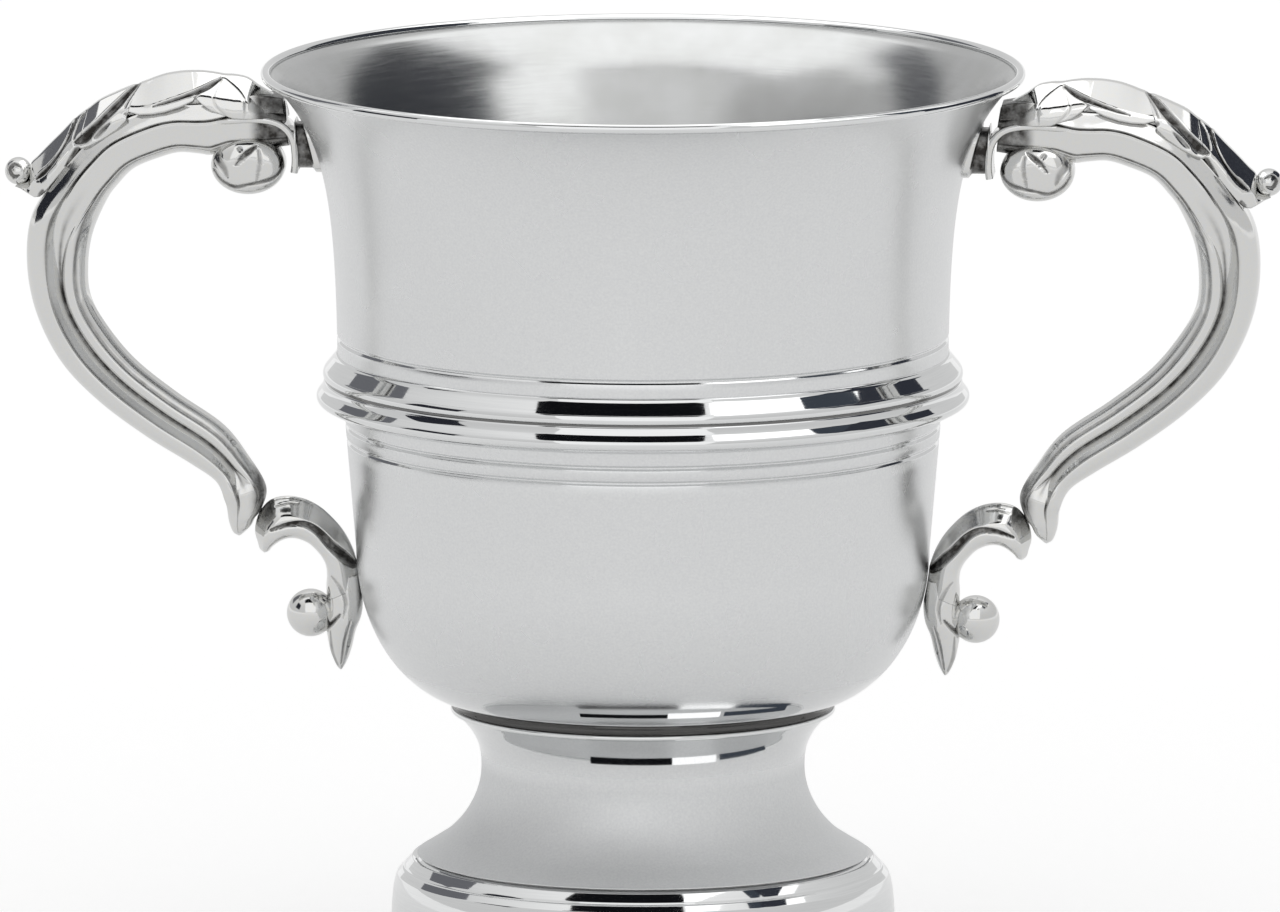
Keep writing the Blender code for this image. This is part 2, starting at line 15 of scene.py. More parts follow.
import bmesh
import bpy
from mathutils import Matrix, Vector
from mathutils.geometry import normal as flat_normal


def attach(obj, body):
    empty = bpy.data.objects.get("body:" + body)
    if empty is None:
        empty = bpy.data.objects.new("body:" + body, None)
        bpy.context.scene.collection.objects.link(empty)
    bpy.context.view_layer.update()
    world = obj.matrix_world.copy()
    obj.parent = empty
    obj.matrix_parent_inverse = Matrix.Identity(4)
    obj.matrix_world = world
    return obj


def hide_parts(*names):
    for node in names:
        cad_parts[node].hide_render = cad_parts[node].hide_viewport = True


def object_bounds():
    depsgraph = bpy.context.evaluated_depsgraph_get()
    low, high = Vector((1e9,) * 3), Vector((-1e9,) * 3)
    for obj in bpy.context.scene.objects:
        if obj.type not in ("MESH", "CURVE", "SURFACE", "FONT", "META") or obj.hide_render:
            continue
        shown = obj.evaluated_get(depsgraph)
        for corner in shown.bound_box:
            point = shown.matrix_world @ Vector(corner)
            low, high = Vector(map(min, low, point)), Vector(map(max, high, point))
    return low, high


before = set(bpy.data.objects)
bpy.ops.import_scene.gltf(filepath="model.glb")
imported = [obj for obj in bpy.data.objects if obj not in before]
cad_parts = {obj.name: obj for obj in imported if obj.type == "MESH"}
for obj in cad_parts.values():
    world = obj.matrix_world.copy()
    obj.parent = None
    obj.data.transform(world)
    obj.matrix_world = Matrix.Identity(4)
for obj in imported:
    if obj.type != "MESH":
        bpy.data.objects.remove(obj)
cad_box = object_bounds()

MM = 0.001
scene = bpy.context.scene
cad_size = [round(side / MM, 1) for side in cad_box[1] - cad_box[0]]
print("cup of", len(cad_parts), "nodes,", cad_size, "mm")

# %% [markdown]
# ## The camera
#
# A product photographer uses a long lens from a few metres away, so that both handles show
# the same size and the mouth is a clean ellipse. The camera could be placed by eye. Here its
# direction is worked out from the mouth: the ellipse's height against its width gives the
# elevation, and the unequal handles give the small turn of the cup.

# %% Camera
CAMERA_TURN = math.radians(3.5)      # the right handle is a little nearer
CAMERA_LIFT = math.radians(9.1)
FRAME_WIDTH = 212.77 * MM            # width of the view at the axis of the cup
LENS = 1000.0
SENSOR = 36.0
AIM_ACROSS = -0.5 * MM
AIM_HEIGHT = 87.3 * MM

toward_camera = Vector((
    math.sin(CAMERA_TURN) * math.cos(CAMERA_LIFT),
    -math.cos(CAMERA_TURN) * math.cos(CAMERA_LIFT),
    math.sin(CAMERA_LIFT),
))
across = Vector((math.cos(CAMERA_TURN), math.sin(CAMERA_TURN), 0.0))
aim = AIM_ACROSS * across + Vector((0.0, 0.0, AIM_HEIGHT))

camera_data = bpy.data.cameras.new("long_lens")
camera_data.lens = LENS
camera_data.sensor_width = SENSOR
camera_data.clip_end = 100.0
camera = bpy.data.objects.new("camera", camera_data)
camera.location = aim + toward_camera * (FRAME_WIDTH * LENS / SENSOR)
camera.rotation_mode = "QUATERNION"
camera.rotation_quaternion = toward_camera.to_track_quat("Z", "Y")
scene.collection.objects.link(camera)
scene.camera = camera
scene.view_settings.view_transform = "Standard"
print("camera", round(FRAME_WIDTH * LENS / SENSOR, 2), "m away")

# %% [markdown]
# ## Helpers for materials
#
# A colour is written as the hex value that a designer would pick, and Blender's shaders work
# with linear light, so one function converts it. Another adds a node with its settings, values
# and links in one call, so that a material below reads as a short list.

# %% Colour and node helpers
def linear(hex_colour):
    """Linear colour of an sRGB hex value."""
    values = []
    for start in (1, 3, 5):
        value = int(hex_colour[start:start + 2], 16) / 255.0
        values.append(value / 12.92 if value <= 0.04045 else ((value + 0.055) / 1.055) ** 2.4)
    return (*values, 1.0)


def add_node(tree, kind, values=None, links=None, **settings):
    """Add a node with its settings, socket values and links.

    A link comes from an output socket, or from a node, which stands for its first output.
    """
    made = tree.nodes.new(kind)
    for name, value in settings.items():
        setattr(made, name, value)
    for socket, value in (values or {}).items():
        made.inputs[socket].default_value = value
    for socket, source in (links or {}).items():
        if isinstance(source, bpy.types.Node):
            source = source.outputs[0]
        tree.links.new(source, made.inputs[socket])
    return made


def new_material(name):
    """An empty material, its node tree and its finished output."""
    material = bpy.data.materials.new(name)
    material.use_nodes = True
    tree = material.node_tree
    tree.nodes.clear()
    return material, tree, tree.nodes.new("ShaderNodeOutputMaterial")


print("white is", linear("#FFFFFF"), "and pewter grey is about", round(linear("#D0D0D1")[0], 2))

# %% [markdown]
# ## Pewter, finished in four ways
#
# Pewter is tin with a little antimony and copper. Its colour is a soft neutral grey, and what
# the eye tells apart is how each part was finished:
#
# - inside the cup the spinning tool left a satin of fine rings, which blurs reflections
# - outside, the spun walls were buffed to a soft sheen, and the neck and fine lines are bright
# - the turned mouldings are bright, so they draw sharp black and white lines
# - the cast handles are buffed on the high places and get painted shade in the hollows
#
# All four start from the same metal. They differ in roughness, in the size and direction of the grain, and
# in the painted shade of hollows and creases, which comes from an attribute that a piece carries.

# %% Pewter colours, turning marks and shader
PEWTER = "#E0E1E1"
WORN_PEWTER = "#D7D8D9"
# The inside's two greys are darker than the outside's as painted shade; the mix between them is random
# tone.
SHADED_INSIDE_PEWTER = "#B9BABA"
SHADED_INSIDE_WORN = "#B1B2B1"
CAST_PEWTER = "#DAD9D5"
PAINTED_SHADE_GREY = "#33312F"            # painted shade: a dark grey mixed into creases, cuts, hollows and handle roots
USUAL_RADIUS = 50.0 * MM             # a ring's marks are as long as they should be at this radius
MOST_NOISE = {"From Min": 0.3, "From Max": 0.7}  # nearly all values of a noise lie in this range
COLOUR_RESULT = 2                    # place of the colour among a Mix node's outputs


def turning_marks(tree, ring_spacing, ring_length):
    """Coordinates in which noise becomes rings round the axis, close together and long."""
    spot = add_node(tree, "ShaderNodeTexCoord").outputs["Object"]
    parts = add_node(tree, "ShaderNodeSeparateXYZ", links={0: spot}).outputs
    level = add_node(tree, "ShaderNodeCombineXYZ", links={"X": parts["X"], "Y": parts["Y"]})
    radius = add_node(tree, "ShaderNodeVectorMath", links={0: level}, operation="LENGTH")
    angle = add_node(tree, "ShaderNodeMath", links={0: parts["Y"], 1: parts["X"]}, operation="ARCTAN2")
    spans = {}
    for axis, source, scale in (
            ("X", radius.outputs["Value"], 1.0 / ring_spacing),
            ("Y", parts["Z"], 1.0 / ring_spacing),
            ("Z", angle, USUAL_RADIUS / ring_length)):
        spans[axis] = add_node(tree, "ShaderNodeMath", {1: scale}, {0: source}, operation="MULTIPLY")
    return add_node(tree, "ShaderNodeCombineXYZ", links=spans)


def pewter_shader(tree, output, colour, roughness, height, relief):
    """Join a Mix node's colour, a roughness and a bump of relief metres into a metal."""
    bump = add_node(tree, "ShaderNodeBump", {"Strength": 1.0, "Distance": relief}, {"Height": height})
    shader = add_node(
        tree, "ShaderNodeBsdfPrincipled", {"Metallic": 1.0},
        {"Base Color": colour.outputs[COLOUR_RESULT], "Roughness": roughness, "Normal": bump}
    )
    tree.links.new(shader.outputs["BSDF"], output.inputs["Surface"])


# The darkest grey printed here is painted shade, not a grey of the metal.
print("the metal's lightest and darkest grey:", PEWTER, PAINTED_SHADE_GREY)

# %% [markdown]
# ## Satin pewter
#
# A wooden or steel tool presses the sheet on the former, and inside the cup nobody polishes its track away.
# The rings are 0.35 mm apart, finer than the camera can show one by one, so what the eye gets is a soft
# sheen. The inside is also a darker grey than the outside, which is painted shade. The blotches are about 9
# mm wide.

# %% Satin pewter
def satin_spun_pewter():
    """Inside of the cup: fine rings from the spinning tool, a satin sheen, and a darker grey that is
    painted shade.
    """
    material, tree, output = new_material("satin_spun_pewter")
    marks = turning_marks(tree, 0.35 * MM, 6.0 * MM)
    rings = add_node(tree, "ShaderNodeTexNoise", {"Scale": 1.0, "Detail": 2.0}, {"Vector": marks})
    spot = add_node(tree, "ShaderNodeTexCoord").outputs["Object"]
    clouds = add_node(
        tree, "ShaderNodeTexNoise",
        {"Scale": 1.0 / (9.0 * MM), "Detail": 2.0, "Roughness": 0.6}, {"Vector": spot}
    )
    worn = add_node(tree, "ShaderNodeMapRange", MOST_NOISE, {"Value": clouds})
    colour = add_node(
        tree, "ShaderNodeMix", {6: linear(SHADED_INSIDE_PEWTER), 7: linear(SHADED_INSIDE_WORN)}, {0: worn},
        data_type="RGBA"
    )
    roughness = add_node(
        tree, "ShaderNodeMapRange", {**MOST_NOISE, "To Min": 0.19, "To Max": 0.25}, {"Value": rings}
    )
    pewter_shader(tree, output, colour, roughness, rings, 0.006 * MM)
    return material


satin = satin_spun_pewter()
print(satin.name, "has", len(satin.node_tree.nodes), "nodes")

# %% [markdown]
# ## Buffed pewter
#
# A soft wheel takes the rings off the outside walls and leaves a fine even grain. The wheel is
# narrow enough to reach the neck under the bowl, which is polished bright, while the hollow of
# the stem stays duller than the walls. The three fine lines are cut last and stay bright.

# %% Buffed pewter
BRIGHT = 0.05                        # roughness of a place that is polished like a mirror
WALL_ROUGHNESS = 0.26
STEM_ROUGHNESS = 0.56
WALL_START = (50.8, 52.6)            # heights in mm between which the bright neck becomes the wall
STEM_START = (39.0, 35.0)            # and between which it becomes the duller stem
TURNED_LINES = (107.65, 93.05, 90.45)  # heights of the fine lines in mm
LINE_HALF = 0.55


def buffed_spun_pewter():
    """Outside walls: a buffed sheen by height, with blotches about 14 mm wide."""
    material, tree, output = new_material("buffed_spun_pewter")
    spot = add_node(tree, "ShaderNodeTexCoord").outputs["Object"]
    height = add_node(tree, "ShaderNodeSeparateXYZ", links={0: spot}).outputs["Z"]
    fine = add_node(
        tree, "ShaderNodeTexNoise",
        {"Scale": 1.0 / (0.4 * MM), "Detail": 3.0, "Roughness": 0.6}, {"Vector": spot}
    )
    clouds = add_node(
        tree, "ShaderNodeTexNoise",
        {"Scale": 1.0 / (14.0 * MM), "Detail": 2.0, "Roughness": 0.6}, {"Vector": spot}
    )
    worn = add_node(tree, "ShaderNodeMapRange", MOST_NOISE, {"Value": fine})
    colour = add_node(
        tree, "ShaderNodeMix", {6: linear(PEWTER), 7: linear(WORN_PEWTER)}, {0: worn}, data_type="RGBA"
    )
    duller = []
    for (near, far), dull in ((WALL_START, WALL_ROUGHNESS), (STEM_START, STEM_ROUGHNESS)):
        values = {"From Min": near * MM, "From Max": far * MM, "To Min": BRIGHT, "To Max": dull}
        duller.append(add_node(tree, "ShaderNodeMapRange", values, {"Value": height}))
    level = add_node(tree, "ShaderNodeMath", links={0: duller[0], 1: duller[1]}, operation="MAXIMUM")
    for line in TURNED_LINES:
        at_line = add_node(
            tree, "ShaderNodeMath", {1: line * MM, 2: LINE_HALF * MM}, {0: height}, operation="COMPARE"
        )
        level = add_node(tree, "ShaderNodeMix", {3: BRIGHT}, {0: at_line, 2: level})
    uneven = add_node(tree, "ShaderNodeMapRange", {**MOST_NOISE, "To Max": 0.05}, {"Value": clouds})
    roughness = add_node(tree, "ShaderNodeMath", links={0: level, 1: uneven}, operation="ADD")
    pewter_shader(tree, output, colour, roughness, fine, 0.0012 * MM)
    return material


buffed = buffed_spun_pewter()
print(buffed.name, "is bright from", STEM_START[0], "to", WALL_START[0], "mm")

# %% [markdown]
# ## Bright pewter
#
# The mouldings are polished while they spin in the lathe, which leaves a mirror with rings as fine as
# hairs, 0.25 mm apart. A crease between two mouldings gets painted shade, a dark grey, and the girdle and
# the collar carry an attribute that says where that is.

# %% Bright pewter
def bright_turned_pewter():
    """Mouldings: a mirror with hair-fine rings, and painted shade in a crease."""
    material, tree, output = new_material("bright_turned_pewter")
    marks = turning_marks(tree, 0.25 * MM, 12.0 * MM)
    rings = add_node(tree, "ShaderNodeTexNoise", {"Scale": 1.0, "Detail": 1.0}, {"Vector": marks})
    worn = add_node(tree, "ShaderNodeMapRange", {**MOST_NOISE, "To Max": 0.5}, {"Value": rings})
    metal = add_node(
        tree, "ShaderNodeMix", {6: linear(PEWTER), 7: linear(WORN_PEWTER)}, {0: worn}, data_type="RGBA"
    )
    # Painted shade: the hollow attribute mixes the dark grey into a crease.
    hollow = add_node(tree, "ShaderNodeAttribute", attribute_name="hollow").outputs["Fac"]
    colour = add_node(
        tree, "ShaderNodeMix", {7: linear(PAINTED_SHADE_GREY)},
        {0: hollow, 6: metal.outputs[COLOUR_RESULT]}, data_type="RGBA"
    )
    roughness = add_node(
        tree, "ShaderNodeMapRange", {**MOST_NOISE, "To Min": 0.03, "To Max": 0.06}, {"Value": rings}
    )
    pewter_shader(tree, output, colour, roughness, rings, 0.0006 * MM)
    return material


bright = bright_turned_pewter()
print(bright.name, "has", len(bright.node_tree.nodes), "nodes")

# %% [markdown]
# ## Cast pewter
#
# A casting comes from the mould with a pitted skin. Buffing makes its high places bright and leaves the
# hollows rough, and shade is painted into the hollows as a dark grey. The pits are 0.6 mm wide, and the
# painted shade comes in patches about 1.8 mm wide.

# %% Cast pewter
def buffed_cast_pewter():
    """Handles: buffed high places, and rougher hollows with painted shade."""
    material, tree, output = new_material("buffed_cast_pewter")
    spot = add_node(tree, "ShaderNodeTexCoord").outputs["Object"]
    pits, patches = [
        add_node(
            tree, "ShaderNodeTexNoise", {"Scale": 1.0 / (size * MM), "Detail": 3.0, "Roughness": 0.6},
            {"Vector": spot}
        ) for size in (0.6, 1.8)
    ]
    # Painted shade: the hollow attribute, broken into patches by the larger noise, mixes in the dark grey.
    marked = add_node(tree, "ShaderNodeAttribute", attribute_name="hollow").outputs["Fac"]
    patchy_shade = add_node(
        tree, "ShaderNodeMapRange", {**MOST_NOISE, "To Min": 0.7, "To Max": 1.15}, {"Value": patches}
    )
    hollow = add_node(
        tree, "ShaderNodeMath", links={0: marked, 1: patchy_shade}, operation="MULTIPLY", use_clamp=True
    )
    worn = add_node(tree, "ShaderNodeMapRange", MOST_NOISE, {"Value": pits})
    metal = add_node(
        tree, "ShaderNodeMix", {6: linear(CAST_PEWTER), 7: linear(WORN_PEWTER)}, {0: worn},
        data_type="RGBA"
    )
    colour = add_node(
        tree, "ShaderNodeMix", {7: linear(PAINTED_SHADE_GREY)},
        {0: hollow, 6: metal.outputs[COLOUR_RESULT]}, data_type="RGBA"
    )
    skin_roughness = add_node(tree, "ShaderNodeMath", {1: 0.25}, {0: hollow}, operation="MULTIPLY")
    pit_roughness = add_node(
        tree, "ShaderNodeMapRange", {**MOST_NOISE, "To Min": 0.07, "To Max": 0.12}, {"Value": pits}
    )
    roughness = add_node(
        tree, "ShaderNodeMath", links={0: pit_roughness, 1: skin_roughness}, operation="ADD"
    )
    pewter_shader(tree, output, colour, roughness, pits, 0.002 * MM)
    return material


cast = buffed_cast_pewter()
print(cast.name, "has", len(cast.node_tree.nodes), "nodes")

# %% [markdown]
# ## Geometry Nodes, set up and used
#
# Two kinds of shape below follow a rule, and a node tree makes each of them: turned parts and a
# rolled strip. Both trees start with named inputs, and both end by shading the faces smooth,
# making instances real and setting the finish. A modifier holds the tree on a line of points,
# its inputs are set by their identifiers, and the result is then kept as a plain mesh.

# %% Tree and modifier helpers
def start_tree(name, inputs):
    """New node tree with named inputs, the last of which is always the finish."""
    tree = bpy.data.node_groups.new(name, "GeometryNodeTree")
    for label, kind in (*inputs, ("Finish", "Material")):
        tree.interface.new_socket(label, in_out="INPUT", socket_type="NodeSocket" + kind)
    tree.interface.new_socket("Result", in_out="OUTPUT", socket_type="NodeSocketGeometry")
    return tree, add_node(tree, "NodeGroupInput").outputs


def end_tree(tree, mesh, finish):
    """Shade smooth, make instances real, set the finish and give the result out."""
    smooth = add_node(tree, "GeometryNodeSetShadeSmooth", {"Shade Smooth": True}, {0: mesh})
    real = add_node(tree, "GeometryNodeRealizeInstances", links={0: smooth})
    finished = add_node(tree, "GeometryNodeSetMaterial", links={"Geometry": real, "Material": finish})
    add_node(tree, "NodeGroupOutput", links={0: finished})


def placed(name, mesh):
    """Object with a mesh, in the scene."""
    piece = bpy.data.objects.new(name, mesh)
    scene.collection.objects.link(piece)
    return piece


def made_by_nodes(name, line, tree, inputs):
    """Piece that a tree makes from a line, as a plain mesh with its faces outwards."""
    piece = placed(name, line)
    modifier = piece.modifiers.new(tree.name, "NODES")
    modifier.node_group = tree
    for item in tree.interface.items_tree:
        if item.name in inputs:
            modifier[item.identifier] = inputs[item.name]
    mesh = bpy.data.meshes.new_from_object(piece.evaluated_get(bpy.context.evaluated_depsgraph_get()))
    piece.modifiers.clear()
    piece.data = mesh
    build = bmesh.new()
    build.from_mesh(mesh)
    bmesh.ops.recalc_face_normals(build, faces=build.faces)
    build.to_mesh(mesh)
    build.free()
    mesh.name = name
    return piece


# %% [markdown]
# ## A lathe
#
# A spun or turned part is one outline carried round an axis, so its shape follows a rule. The
# Screw modifier could turn it. A node tree is used here because it shows the rule itself: a
# grid has one row for each point of the outline and one column for each step round the axis,
# and every grid point is moved to the radius and height of its outline point at its own angle.
# Merging closes the seam, and also the poles where an outline touches the axis.

# %% Lathe
STEPS_ROUND = 240
SEAM = 0.004 * MM                    # points closer than this become one


def lathe_tree():
    """Node tree that turns a line of points, given as radius in X and height in Z."""
    tree, given = start_tree("lathe", (("Outline", "Geometry"), ("Steps Round", "Int"), ("Seam", "Float")))
    steps = given["Steps Round"]
    count = add_node(
        tree, "GeometryNodeAttributeDomainSize", links={0: given["Outline"]}, component="MESH"
    ).outputs["Point Count"]
    columns = add_node(tree, "FunctionNodeIntegerMath", {1: 1}, {0: steps}, operation="ADD")
    grid = add_node(tree, "GeometryNodeMeshGrid", links={"Vertices X": count, "Vertices Y": columns})
    index = add_node(tree, "GeometryNodeInputIndex")
    row, column = [
        add_node(tree, "FunctionNodeIntegerMath", links={0: index, 1: columns}, operation=operation)
        for operation in ("DIVIDE_FLOOR", "MODULO")
    ]
    position = add_node(tree, "GeometryNodeInputPosition")
    point = add_node(
        tree, "GeometryNodeSampleIndex", links={0: given["Outline"], "Value": position, "Index": row},
        data_type="FLOAT_VECTOR", domain="POINT"
    )
    parts = add_node(tree, "ShaderNodeSeparateXYZ", links={0: point}).outputs
    share = add_node(tree, "ShaderNodeMath", links={0: column, 1: steps}, operation="DIVIDE")
    angle = add_node(tree, "ShaderNodeMath", {1: 2.0 * math.pi}, {0: share}, operation="MULTIPLY")
    place = {"Z": parts["Z"]}
    for axis, operation in (("X", "COSINE"), ("Y", "SINE")):
        wave = add_node(tree, "ShaderNodeMath", links={0: angle}, operation=operation)
        place[axis] = add_node(tree, "ShaderNodeMath", links={0: parts["X"], 1: wave}, operation="MULTIPLY")
    placing = add_node(tree, "ShaderNodeCombineXYZ", links=place)
    round_grid = add_node(tree, "GeometryNodeSetPosition", links={"Geometry": grid, "Position": placing})
    closed = add_node(
        tree, "GeometryNodeMergeByDistance", links={"Geometry": round_grid, "Distance": given["Seam"]}
    )
    end_tree(tree, closed, given["Finish"])
    return tree


LATHE = lathe_tree()


def turned(name, outline, finish):
    """Spin a closed outline of radii and heights in millimetres."""
    line = bpy.data.meshes.new(name)
    points = [(radius * MM, 0.0, height * MM) for radius, height in outline]
    line.from_pydata(points, [(i, i + 1) for i in range(len(points) - 1)], [])
    piece = made_by_nodes(name, line, LATHE, {"Steps Round": STEPS_ROUND, "Seam": SEAM, "Finish": finish})
    print(name, len(outline), "outline points,", len(piece.data.polygons), "faces")
    return piece


print("the lathe has", len(LATHE.nodes), "nodes")

# %% [markdown]
# ## Outlines of the body
#
# A turner works from templates. These small functions draw them: an arc for a bead, a curve
# through measured points for a hollow, and a softener that rounds each sharp corner, because
# no real edge is perfectly sharp and the rounding is what catches a thin line of light.

# %% Outline helpers
def arc(radius, height, size, start, end, steps=12):
    """Points of a round of the given size about a centre, from one angle to another in degrees."""
    points = []
    for i in range(steps + 1):
        angle = math.radians(start + (end - start) * i / steps)
        points.append((radius + size * math.cos(angle), height + size * math.sin(angle)))
    return points


def along(rows, place):
    """Values at a place between numbered rows, on a smooth curve through all of them."""
    first = max(0, min(int(place), len(rows) - 2))
    share = place - first
    before = rows[max(first - 1, 0)]
    after = rows[min(first + 2, len(rows) - 1)]
    values = []
    for a, b, c, d in zip(before, rows[first], rows[first + 1], after):
        slope = c - a
        bend = 2.0 * a - 5.0 * b + 4.0 * c - d
        twist = 3.0 * b - a - 3.0 * c + d
        values.append(b + 0.5 * share * (slope + share * (bend + share * twist)))
    return values


def curve_through(rows, steps):
    """Points of a smooth curve through rows of numbers."""
    return [along(rows, (len(rows) - 1) * i / steps) for i in range(steps + 1)]


def softened(points, size, sharpest=22.0):
    """Round the corners of an outline that turn by more than the sharpest angle in degrees."""
    result = [points[0]]
    for before, corner, after in zip(points, points[1:], points[2:]):
        arriving = Vector(corner) - Vector(before)
        leaving = Vector(after) - Vector(corner)
        if math.degrees(arriving.angle(leaving)) < sharpest:
            result.append(tuple(corner))
            continue
        reach_in = min(size, 0.45 * arriving.length)
        reach_out = min(size, 0.45 * leaving.length)
        start = Vector(corner) - arriving.normalized() * reach_in
        end = Vector(corner) + leaving.normalized() * reach_out
        for i in range(5):
            share = i / 4
            first = start.lerp(Vector(corner), share)
            second = Vector(corner).lerp(end, share)
            result.append(tuple(first.lerp(second, share)))
    result.append(points[-1])
    return result


print("a quarter bead has", len(arc(0.0, 0.0, 1.0, 90.0, 0.0)), "points")

# %% [markdown]
# ## Sizes of the body
#
# All heights are stacked from the table in millimetres, and the drum's flare is one
# exponential curve: it dies away to the straight waist, as sheet does when it is opened over
# a flaring tool. The bowl's bottom is a squarish quarter ellipse round a flat middle.

# %% Body sizes
STEP_BASE = 9.0
BOWL_BASE = 46.2
JOINT = 98.0
LIP = 151.6
WAIST_RADIUS = 50.6
FLARE = 12.1
FLARE_LENGTH = 11.0
WIRE_RADIUS = 0.8
BOWL_RADIUS = 49.9
BOWL_TAPER = 0.085
BOWL_CURVE = 25.8
BOWL_FLAT_RADIUS = 28.6
BOWL_SQUARENESS = 2.0
WALL = 1.5
FOOT_WALL = 2.0


def drum_radius(height):
    """Outer radius of the flared drum."""
    return WAIST_RADIUS + FLARE * math.exp((height - LIP) / FLARE_LENGTH)


def bowl_radius(height):
    """Outer radius of the bowl."""
    wall_base = BOWL_BASE + BOWL_CURVE
    if height >= wall_base:
        return BOWL_RADIUS - BOWL_TAPER * (JOINT - height)
    wide = BOWL_RADIUS - BOWL_TAPER * (JOINT - wall_base)
    share = min(1.0, (wall_base - height) / BOWL_CURVE)
    drop = (1.0 - share ** BOWL_SQUARENESS) ** (1.0 / BOWL_SQUARENESS)
    return BOWL_FLAT_RADIUS + (wide - BOWL_FLAT_RADIUS) * drop


def outer_radius(height):
    """Outer radius of the drum or bowl."""
    return drum_radius(height) if height > JOINT else bowl_radius(height)


LINE_REACH = 0.5                     # half the height of a turned line
LINE_DEPTH = 0.36
LINE_SHAPE = (
    (1.0, 0.0), (0.8, 0.2), (0.3, 0.9), (0.0, 1.0), (-0.12, 0.97), (-0.18, 0.9), (-0.79, 0.19),
    (-0.85, 0.12), (-1.0, 0.0),
)


def turned_line(radius_at, middle):
    """Fine groove in a wall from its upper to its lower edge, with a flat lower face."""
    points = []
    for up, deep in LINE_SHAPE:
        height = middle + up * LINE_REACH
        points.append((radius_at(height) - deep * LINE_DEPTH, height))
    return points


print("lip radius", round(drum_radius(LIP), 2), "mm, bowl radius", round(bowl_radius(JOINT), 2), "mm")

# %% [markdown]
# ## Rim wire and drum
#
# A flared sheet edge is weak, so a round wire is soldered round it. It is a plain ring, and it
# is seated a hair inside the lip's full radius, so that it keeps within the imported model. The
# drum is spun sheet about 1.5 mm thick that thins towards the lip, and it carries one fine
# turned line above the girdle. Its inside gets the satin finish and its outside is buffed.

# %% Rim wire and drum
def finish_inside(piece, finish):
    """Give the faces that look at the axis, or up from the bottom, their own finish."""
    piece.data.materials.append(finish)
    place = len(piece.data.materials) - 1
    count = 0
    for face in piece.data.polygons:
        outward = face.normal.x * face.center.x + face.normal.y * face.center.y
        if outward < 0.0 or face.normal.z > 0.95:
            face.material_index = place
            count += 1
    print(piece.name, count, "faces inside")
    return piece


LIP_THINNING = 0.75                  # how much thinner the sheet is at the lip
THINNING_START = 136.0
WIRE_SEAT = WAIST_RADIUS + FLARE - 0.04


def drum_outline():
    """Outer wall with its turned line, then the inner wall from the joint back to the lip."""
    line_height = TURNED_LINES[0]
    top = LIP - 0.25
    outline = []
    for i in range(49):
        share = (i / 48) ** 1.4
        height = top - (top - line_height - 0.6) * share
        outline.append((drum_radius(height), height))
    outline += turned_line(drum_radius, line_height)
    outline += [(drum_radius(height), height) for height in (106.0, 104.0, 101.0, JOINT - 0.1)]
    inner = []
    for i in range(37):
        height = JOINT - 0.1 + (top + 0.1 - JOINT) * (i / 36) ** 0.8
        thinned = max(0.0, (height - THINNING_START) / (LIP - THINNING_START)) ** 2
        wall = WALL - LIP_THINNING * thinned
        slope = (FLARE / FLARE_LENGTH) * math.exp((height - LIP) / FLARE_LENGTH)
        inner.append((drum_radius(height) - wall * math.hypot(1.0, slope), height))
    return outline + inner + outline[:1]


rim_wire = turned("pewter_rim_wire", arc(WIRE_SEAT, LIP, WIRE_RADIUS, 90.0, -270.0, 32), bright)
drum = finish_inside(turned("pewter_drum", drum_outline(), buffed), satin)

# %% [markdown]
# ## Girdle
#
# The joint between drum and bowl is hidden by a turned ring. Seen from the side it has two steps, each a
# small cove, a flat bevel and a round, with a crease between them that gets painted shade. Each bevel
# mirrors what hangs over the cup, which is why the ring reads as black and white bars.
# A straight bevel mirrors it without bending, so two points close to each end of a bevel keep
# it straight up to its edges.

# %% Girdle
def girdle_outline():
    """Two steps, each a cove, a bevel and a round, with a crease between them."""
    face = [(51.0, 104.95), (51.1, 104.6), (51.3, 104.25)]
    face += [(51.37, 104.16), (52.78, 102.44), (52.85, 102.35)]
    face += arc(51.68, 101.4, 1.5, 39.0, 0.0, 10)
    face += [(53.15, 101.05), (52.85, 100.8), (52.85, 100.45), (53.05, 100.2), (53.12, 99.8)]
    face += [(53.3, 99.2), (53.37, 99.11), (53.92, 98.41)]
    face += arc(53.15, 97.6, 1.1, 39.0, -70.0, 24)
    face += [(52.4, 95.95), (50.6, 95.7), (49.5, 95.7)]
    back = [(49.4, 97.0), (49.9, 100.0), (50.2, 104.95)]
    return softened(face + back + face[:1], 0.15)


def paint_crease_shade(piece, low, high, darkness):
    """Paint shade on the points between two heights in millimetres, for a crease that looks dark."""
    values = []
    for vertex in piece.data.vertices:
        height = vertex.co.z / MM
        values.append(darkness if low < height < high else 0.0)
    piece.data.attributes.new("hollow", "FLOAT", "POINT").data.foreach_set("value", values)
    print(piece.name, sum(value > 0.0 for value in values), "points in the crease")


girdle = turned("pewter_girdle_band", girdle_outline(), bright)
# Painted shade in the crease between the girdle's two steps.
paint_crease_shade(girdle, 100.4, 100.9, 0.8)

# %% [markdown]
# ## Bowl
#
# The bowl is spun over a former in one piece: a slightly tapering wall, a rounded bottom and
# a flat middle that sits on the stem. Two fine lines below the girdle are cut in the lathe.

